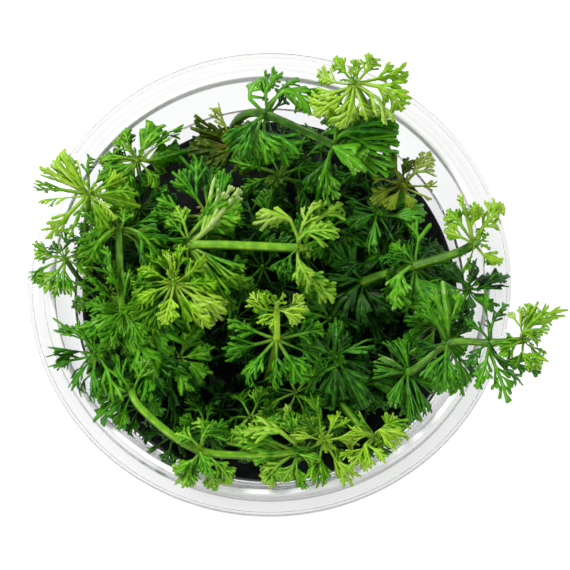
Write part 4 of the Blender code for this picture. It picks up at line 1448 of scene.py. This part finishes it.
def grow_middle(bm, middle, sheets, dice):
    """Lay the leaves of a middle shoot and return the shoot."""
    top = Vector((middle.x, middle.y, middle.height))
    inward = Vector((middle.x, middle.y, 0)) * MIDDLE_INWARD
    base = Vector((middle.x, middle.y, MEDIUM_TOP + SMALL_FOOT)) - inward
    route = (tuple(base), tuple(base.lerp(top, 0.5)), tuple(top))
    shoot = Shoot(MIDDLE_RADIUS, route, (Whorl(2, middle.tone, "feather", 0, MIDDLE_DROOP, ()),))
    turn = dice.uniform(0, 360)
    lean = dice.uniform(0, MIDDLE_LEAN)
    lean_heading = dice.uniform(0, 360)
    for count in range(MIDDLE_LEAVES):
        jitter = dice.uniform(-MIDDLE_JITTER, MIDDLE_JITTER)
        heading = turn + 360 / MIDDLE_LEAVES * (count + jitter)
        length = middle.length * dice.uniform(*MIDDLE_LENGTHS)
        leaf = Leaf(heading, length, dice.uniform(-SMALL_SWEEP, SMALL_SWEEP))
        climb = dice.uniform(*MIDDLE_CLIMBS) + lean * cos(radians(heading - lean_heading))
        line = ray_line(top, MIDDLE_RADIUS, leaf, climb, MIDDLE_DROOP)
        lay_any_leaf(bm, sheets[middle.look], line, dice, SMALL_WIDTHS, MIDDLE_TINTS)
    return shoot


def add_fleck(bm, fleck):
    """A small curled husk, narrower at its ends, that stands with one end on the medium."""
    count = len(bm.verts)
    bmesh.ops.create_grid(bm, x_segments=6, y_segments=2, size=0.5)
    bm.verts.ensure_lookup_table()
    ahead = leaf_direction(fleck.heading, fleck.rise)
    side = leaf_direction(fleck.heading + 90, 0)
    upward = ahead.cross(side)
    for vertex in bm.verts[count:]:
        share = vertex.co.x + 0.5
        bulge = sin(pi * min(1.0, share + FLECK_SHIFT))
        width = fleck.width * (FLECK_ENDS + (1 - FLECK_ENDS) * bulge)
        curl = fleck.length * FLECK_CURL * (vertex.co.y ** 2 + sin(pi * share) / 2)
        place = ahead * share * fleck.length + side * vertex.co.y * width + upward * curl
        vertex.co = Vector((fleck.x, fleck.y, fleck.z)) + place


def studio_world(strength):
    """Light from softboxes all around the table, with the dark ceiling of the studio above them."""
    world = bpy.data.worlds.new("studio")
    world.use_nodes = True
    tree = world.node_tree
    direction = add_node(tree, "ShaderNodeTexCoord").outputs["Generated"]
    height = add_node(tree, "ShaderNodeSeparateXYZ", {}, {}, {"Vector": direction}).outputs["Z"]
    background = tree.nodes["Background"]
    background.inputs["Color"].default_value = (1, 1, 1, 1)
    light = rescaled(tree, height, *CEILING_EDGE, strength, strength * CEILING_SHARE)
    tree.links.new(light, background.inputs["Strength"])
    return world


def add_light(name, power, size, place):
    """A square soft light that faces the plant."""
    lamp = bpy.data.lights.new(name, "AREA")
    lamp.energy = power
    lamp.size = size
    light = bpy.data.objects.new(name, lamp)
    light.location = place
    ahead = Vector((0, 0, RIM_HEIGHT * MM)) - light.location
    light.rotation_euler = ahead.to_track_quat("-Z", "Y").to_euler()
    bpy.context.scene.collection.objects.link(light)


def aim_camera(scene):
    """Look down at the cup from in front, from the height and distance of the photograph."""
    lens = bpy.data.cameras.new("camera")
    lens.sensor_width = SENSOR
    lens.lens = SENSOR * PIXELS_PER_MM * CAMERA_DISTANCE / PHOTO_WIDTH
    lens.clip_start = 0.01
    camera = bpy.data.objects.new("camera", lens)
    target = Vector(CAMERA_TARGET)
    behind = leaf_direction(-90, CAMERA_ELEVATION)
    camera.location = (target + behind * CAMERA_DISTANCE) * MM
    camera.rotation_euler = (radians(90 - CAMERA_ELEVATION), 0, 0)
    scene.collection.objects.link(camera)
    scene.camera = camera


def colour_property(name, description, code):
    """A colour setting whose default is an sRGB hex colour."""
    return FloatVectorProperty(
        name=name, description=description, subtype="COLOR", size=3, min=0.0, max=1.0,
        default=srgb(code),
    )


class CupSettings(bpy.types.PropertyGroup):
    segments: IntProperty(
        name="Segments", description="Flat steps around the cup", default=192, min=32,
    )
    edge_rounding: FloatProperty(
        name="Edge rounding", description="Radius of the cup's moulded edges", default=0.16 * MM,
        min=0.0, unit="LENGTH",
    )
    plastic: colour_property("Plastic", "Faint tint of the clear plastic", "#FAFBFB")
    lip: colour_property("Lip", "Colour of the milky plastic in the thick lip", "#FDFDFD")
    flange: colour_property("Flange", "Tint of the thicker clear plastic in the flange", "#ECEDEC")


class MediumSettings(bpy.types.PropertyGroup):
    segments: IntProperty(
        name="Segments", description="Flat steps around the medium", default=120, min=24,
    )
    black: colour_property("Black", "Main colour of the moist medium", "#080B0B")
    # The lit colour is partly painted light on the medium's raised grains.
    lit: colour_property("Lit", "Colour of the medium's raised grains", "#1C2424")
    husk: colour_property("Husk", "Colour of the dried flecks", "#D9BE98")
    husk_shade: colour_property("Husk shade", "Streaks on the dried flecks", "#8A6548")


class StemSettings(bpy.types.PropertyGroup):
    root: colour_property("Root end", "Colour of the stems low in the cup", "#1E4A0A")
    skin: colour_property("Skin", "Main colour of the stems", "#5A9212")
    young: colour_property("Young skin", "Colour of the youngest stems", "#A6C22E")
    ridge: colour_property("Ridge", "Colour of the stems' long ribs", "#C0D860")


# For each tone: its oldest and youngest green, its stalk's colour and how wet it looks
LEAF_SKINS = (
    ("lime", "#2E6A04", "#A0CC30", "#A4C844", 0.1),
    ("bright", "#1E5C02", "#98C438", "#90BA40", 0.14),
    ("green", "#104602", "#60AA14", "#609E20", 0.22),
    ("dark", "#0A2A02", "#52A018", "#3E8216", 0.35),
    ("olive", "#2A4A04", "#98B42C", "#80501E", 0.1),
)


class LeafSettings(bpy.types.PropertyGroup):
    lime: colour_property("Lime", "Blades of the youngest whorls", "#6AAC0C")
    bright: colour_property("Bright", "Blades of the upper whorls", "#4E9E0A")
    green: colour_property("Green", "Blades of the middle whorls", "#378406")
    dark: colour_property("Dark", "Blades of the low whorls", "#286C08")
    olive: colour_property("Olive", "Blades of the ageing whorls", "#567214")
    pale: colour_property("Pale", "Ribs of the palest leaves", "#CADD9A")
    see_through: FloatProperty(
        name="See-through", description="Share of light that passes through a leaf", default=0.3,
        min=0.0, max=1.0, subtype="FACTOR",
    )


class StageSettings(bpy.types.PropertyGroup):
    paper: colour_property("Acrylic", "Colour of the light table", "#7C7C7C")
    glow: FloatProperty(
        name="Table light", description="How brightly the table is lit from below", default=0.88,
        min=0.0,
    )
    sky: FloatProperty(
        name="Softboxes", description="Strength of the light from the sides", default=1.62, min=0.0,
    )
    key: FloatProperty(
        name="Key light", description="Power of the main light", default=6.2, min=0.0, unit="POWER",
    )


class AMBULIA_OT_cup(bpy.types.Operator):
    """Turn the clear cup"""
    bl_idname = "ambulia.cup"
    bl_label = "Cup"

    def execute(self, context):
        settings = context.scene.ambulia_cup
        bm = turned_solid(cup_profile(), settings.segments)
        mark_rim(bm)
        clear = plastic_material("clear_polypropylene", settings.plastic, CLEAR_SHARE, CLEAR_HAZE)
        milky = plastic_material("milky_polypropylene", settings.lip, LIP_SHARE, LIP_HAZE)
        thick = plastic_material("thick_clear_polypropylene", settings.flange, CLEAR_SHARE, CLEAR_HAZE)
        piece = add_piece("clear_cup", bm, clear)
        for material in (milky, thick):
            piece.data.materials.append(material)
        add_modifier(
            piece, "BEVEL", width=settings.edge_rounding, segments=2, limit_method="ANGLE",
            angle_limit=radians(SHARP_ANGLE),
        )
        dress(piece, "clear_plastic", "cup")
        return {"FINISHED"}


class AMBULIA_OT_medium(bpy.types.Operator):
    """Turn the growth medium and raise the lumps on its top"""
    bl_idname = "ambulia.medium"
    bl_label = "Growth medium"

    def execute(self, context):
        settings = context.scene.ambulia_medium
        bm = turned_solid(medium_profile(), settings.segments)
        raise_lumps(bm)
        piece = add_piece("moist_medium", bm, medium_material(settings.black, settings.lit))
        dress(piece, "growth_medium", "growth_medium")
        return {"FINISHED"}


class AMBULIA_OT_stems(bpy.types.Operator):
    """Grow the ribbed stems along the routes of their solids"""
    bl_idname = "ambulia.stems"
    bl_label = "Stems"

    def execute(self, context):
        settings = context.scene.ambulia_stem
        skin = stem_material((settings.root, settings.skin, settings.young), settings.ridge)
        for name, shoot in SHOOTS.items():
            bm = layered_bmesh(STEM_LAYERS)
            grow_stem(bm, shoot, STEM_TINTS.get(name, USUAL_STEM_TINT))
            add_stems(f"ribbed_stem_{name}", bm, skin, f"stem_{name}")
        return {"FINISHED"}


class AMBULIA_OT_leaves(bpy.types.Operator):
    """Lay divided leaves along the lines of the solids' leaves, with a bud at each growing tip"""
    bl_idname = "ambulia.leaves"
    bl_label = "Leaves"

    def execute(self, context):
        settings = context.scene.ambulia_leaf
        sheets = make_sheets()
        skins = {}
        for tone, old, young, stalk, gloss in LEAF_SKINS:
            greens = (srgb(old), getattr(settings, tone), srgb(young))
            skins[tone] = leaf_material(
                f"{tone}_leaf", greens, settings.pale, srgb(stalk), gloss, settings.see_through,
            )
        for number, (name, shoot) in enumerate(SHOOTS.items()):
            for count, whorl in enumerate(shoot.whorls, start=1):
                dice = random.Random(WHORL_SEEDS * number + count)
                node = f"leaves_{name}_{count}"
                bm = layered_bmesh(LEAF_LAYERS)
                whorl_leaves(bm, node, shoot, whorl, sheets, dice)
                if whorl is shoot.whorls[-1]:
                    grow_bud(bm, shoot, sheets, dice)
                add_leaves(f"divided_{node}", bm, skins[whorl.tone], f"leaf_{whorl.tone}", node)
        remove_sheets(sheets)
        return {"FINISHED"}


class AMBULIA_OT_undergrowth(bpy.types.Operator):
    """Grow the small shoots that fill the lower part of the cup"""
    bl_idname = "ambulia.undergrowth"
    bl_label = "Undergrowth"

    def execute(self, context):
        dice = random.Random(UNDERGROWTH_SEED)
        skin = made_material("dark_leaf")
        stem_skin = made_material("stem_skin")
        sheets = make_sheets()
        leafy = [layered_bmesh(LEAF_LAYERS) for _ in range(UNDERGROWTH_PIECES)]
        stems = layered_bmesh(STEM_LAYERS)
        for place in undergrowth_places():
            shoot = undergrowth_shoot(place, dice)
            sector = int(atan2(place.y, place.x) % tau / tau * UNDERGROWTH_PIECES)
            grow_undergrowth(leafy[sector], shoot, sheets, dice)
            grow_stem(stems, shoot, UNDERGROWTH_STEM_TINT, STEM_STRIDE)
        for count, bm in enumerate(leafy, start=1):
            add_leaves(f"undergrowth_{count}", bm, skin, "leaf_dark")
        add_stems("undergrowth_stems", stems, stem_skin)
        remove_sheets(sheets)
        return {"FINISHED"}


class AMBULIA_OT_middle(bpy.types.Operator):
    """Grow the middle shoots, which fill the gaps under the highest whorls"""
    bl_idname = "ambulia.middle"
    bl_label = "Middle shoots"

    def execute(self, context):
        stem_skin = made_material("stem_skin")
        sheets = make_sheets()
        stems = layered_bmesh(STEM_LAYERS)
        for count, values in enumerate(MIDDLE_SHOOTS, start=1):
            middle = Middle(*values)
            skin = made_material(f"{middle.tone}_leaf")
            dice = random.Random(MIDDLE_SEED + count)
            bm = layered_bmesh(LEAF_LAYERS)
            shoot = grow_middle(bm, middle, sheets, dice)
            add_leaves(f"middle_leaves_{count}", bm, skin, f"leaf_{middle.tone}")
            grow_stem(stems, shoot, MIDDLE_STEM_TINT)
        add_stems("middle_stems", stems, stem_skin)
        remove_sheets(sheets)
        return {"FINISHED"}


class AMBULIA_OT_flecks(bpy.types.Operator):
    """Scatter the dried husks that lie on the medium and among the leaves"""
    bl_idname = "ambulia.flecks"
    bl_label = "Dried flecks"

    def execute(self, context):
        settings = context.scene.ambulia_medium
        bm = bmesh.new()
        for values in FLECKS:
            add_fleck(bm, Fleck(*values))
        piece = add_piece("dried_flecks", bm, fleck_material(settings.husk, settings.husk_shade))
        add_modifier(piece, "SOLIDIFY", thickness=FLECK_THICKNESS * MM, offset=0.0)
        dress(piece, "leaf_olive")
        return {"FINISHED"}


class AMBULIA_OT_stage(bpy.types.Operator):
    """Lay the light table, set the lights and aim the camera as in the photograph"""
    bl_idname = "ambulia.stage"
    bl_label = "Stage"

    def execute(self, context):
        settings = context.scene.ambulia_stage
        bm = bmesh.new()
        bmesh.ops.create_grid(bm, x_segments=8, y_segments=8, size=FLOOR_SIZE)
        floor = add_piece("studio_floor", bm, floor_material(settings.paper, settings.glow))
        context.scene.world = studio_world(settings.sky)
        add_light("key", settings.key, KEY_SIZE, KEY_PLACE)
        aim_camera(context.scene)
        context.scene.view_settings.view_transform = "Standard"
        return {"FINISHED"}


SETTINGS = {
    "ambulia_cup": CupSettings,
    "ambulia_medium": MediumSettings,
    "ambulia_stem": StemSettings,
    "ambulia_leaf": LeafSettings,
    "ambulia_stage": StageSettings,
}

STEPS = (
    AMBULIA_OT_cup, AMBULIA_OT_medium, AMBULIA_OT_stems, AMBULIA_OT_leaves, AMBULIA_OT_middle,
    AMBULIA_OT_undergrowth, AMBULIA_OT_flecks, AMBULIA_OT_stage,
)


class AMBULIA_PT_panel(bpy.types.Panel):
    """The settings and steps of the potted ambulia"""
    bl_label = "Ambulia"
    bl_idname = "AMBULIA_PT_panel"
    bl_space_type = "VIEW_3D"
    bl_region_type = "UI"
    bl_category = "Ambulia"

    def draw(self, context):
        for name in SETTINGS:
            box = self.layout.box()
            group = getattr(context.scene, name)
            for field in group.__annotations__:
                box.prop(group, field)
        for step in STEPS:
            self.layout.operator(step.bl_idname)


def register():
    """Register the settings, the steps and the panel."""
    for settings in SETTINGS.values():
        bpy.utils.register_class(settings)
    for name, settings in SETTINGS.items():
        setattr(bpy.types.Scene, name, PointerProperty(type=settings))
    for step in STEPS:
        bpy.utils.register_class(step)
    bpy.utils.register_class(AMBULIA_PT_panel)


def unregister():
    """Remove what register added."""
    bpy.utils.unregister_class(AMBULIA_PT_panel)
    for step in reversed(STEPS):
        bpy.utils.unregister_class(step)
    for name in SETTINGS:
        delattr(bpy.types.Scene, name)
    for settings in SETTINGS.values():
        bpy.utils.unregister_class(settings)


def main():
    """Register the settings and steps, and run every step."""
    register()
    bpy.ops.ambulia.cup()
    bpy.ops.ambulia.medium()
    bpy.ops.ambulia.stems()
    bpy.ops.ambulia.leaves()
    bpy.ops.ambulia.middle()
    bpy.ops.ambulia.undergrowth()
    bpy.ops.ambulia.flecks()
    bpy.ops.ambulia.stage()


if __name__ == "__main__":
    main()
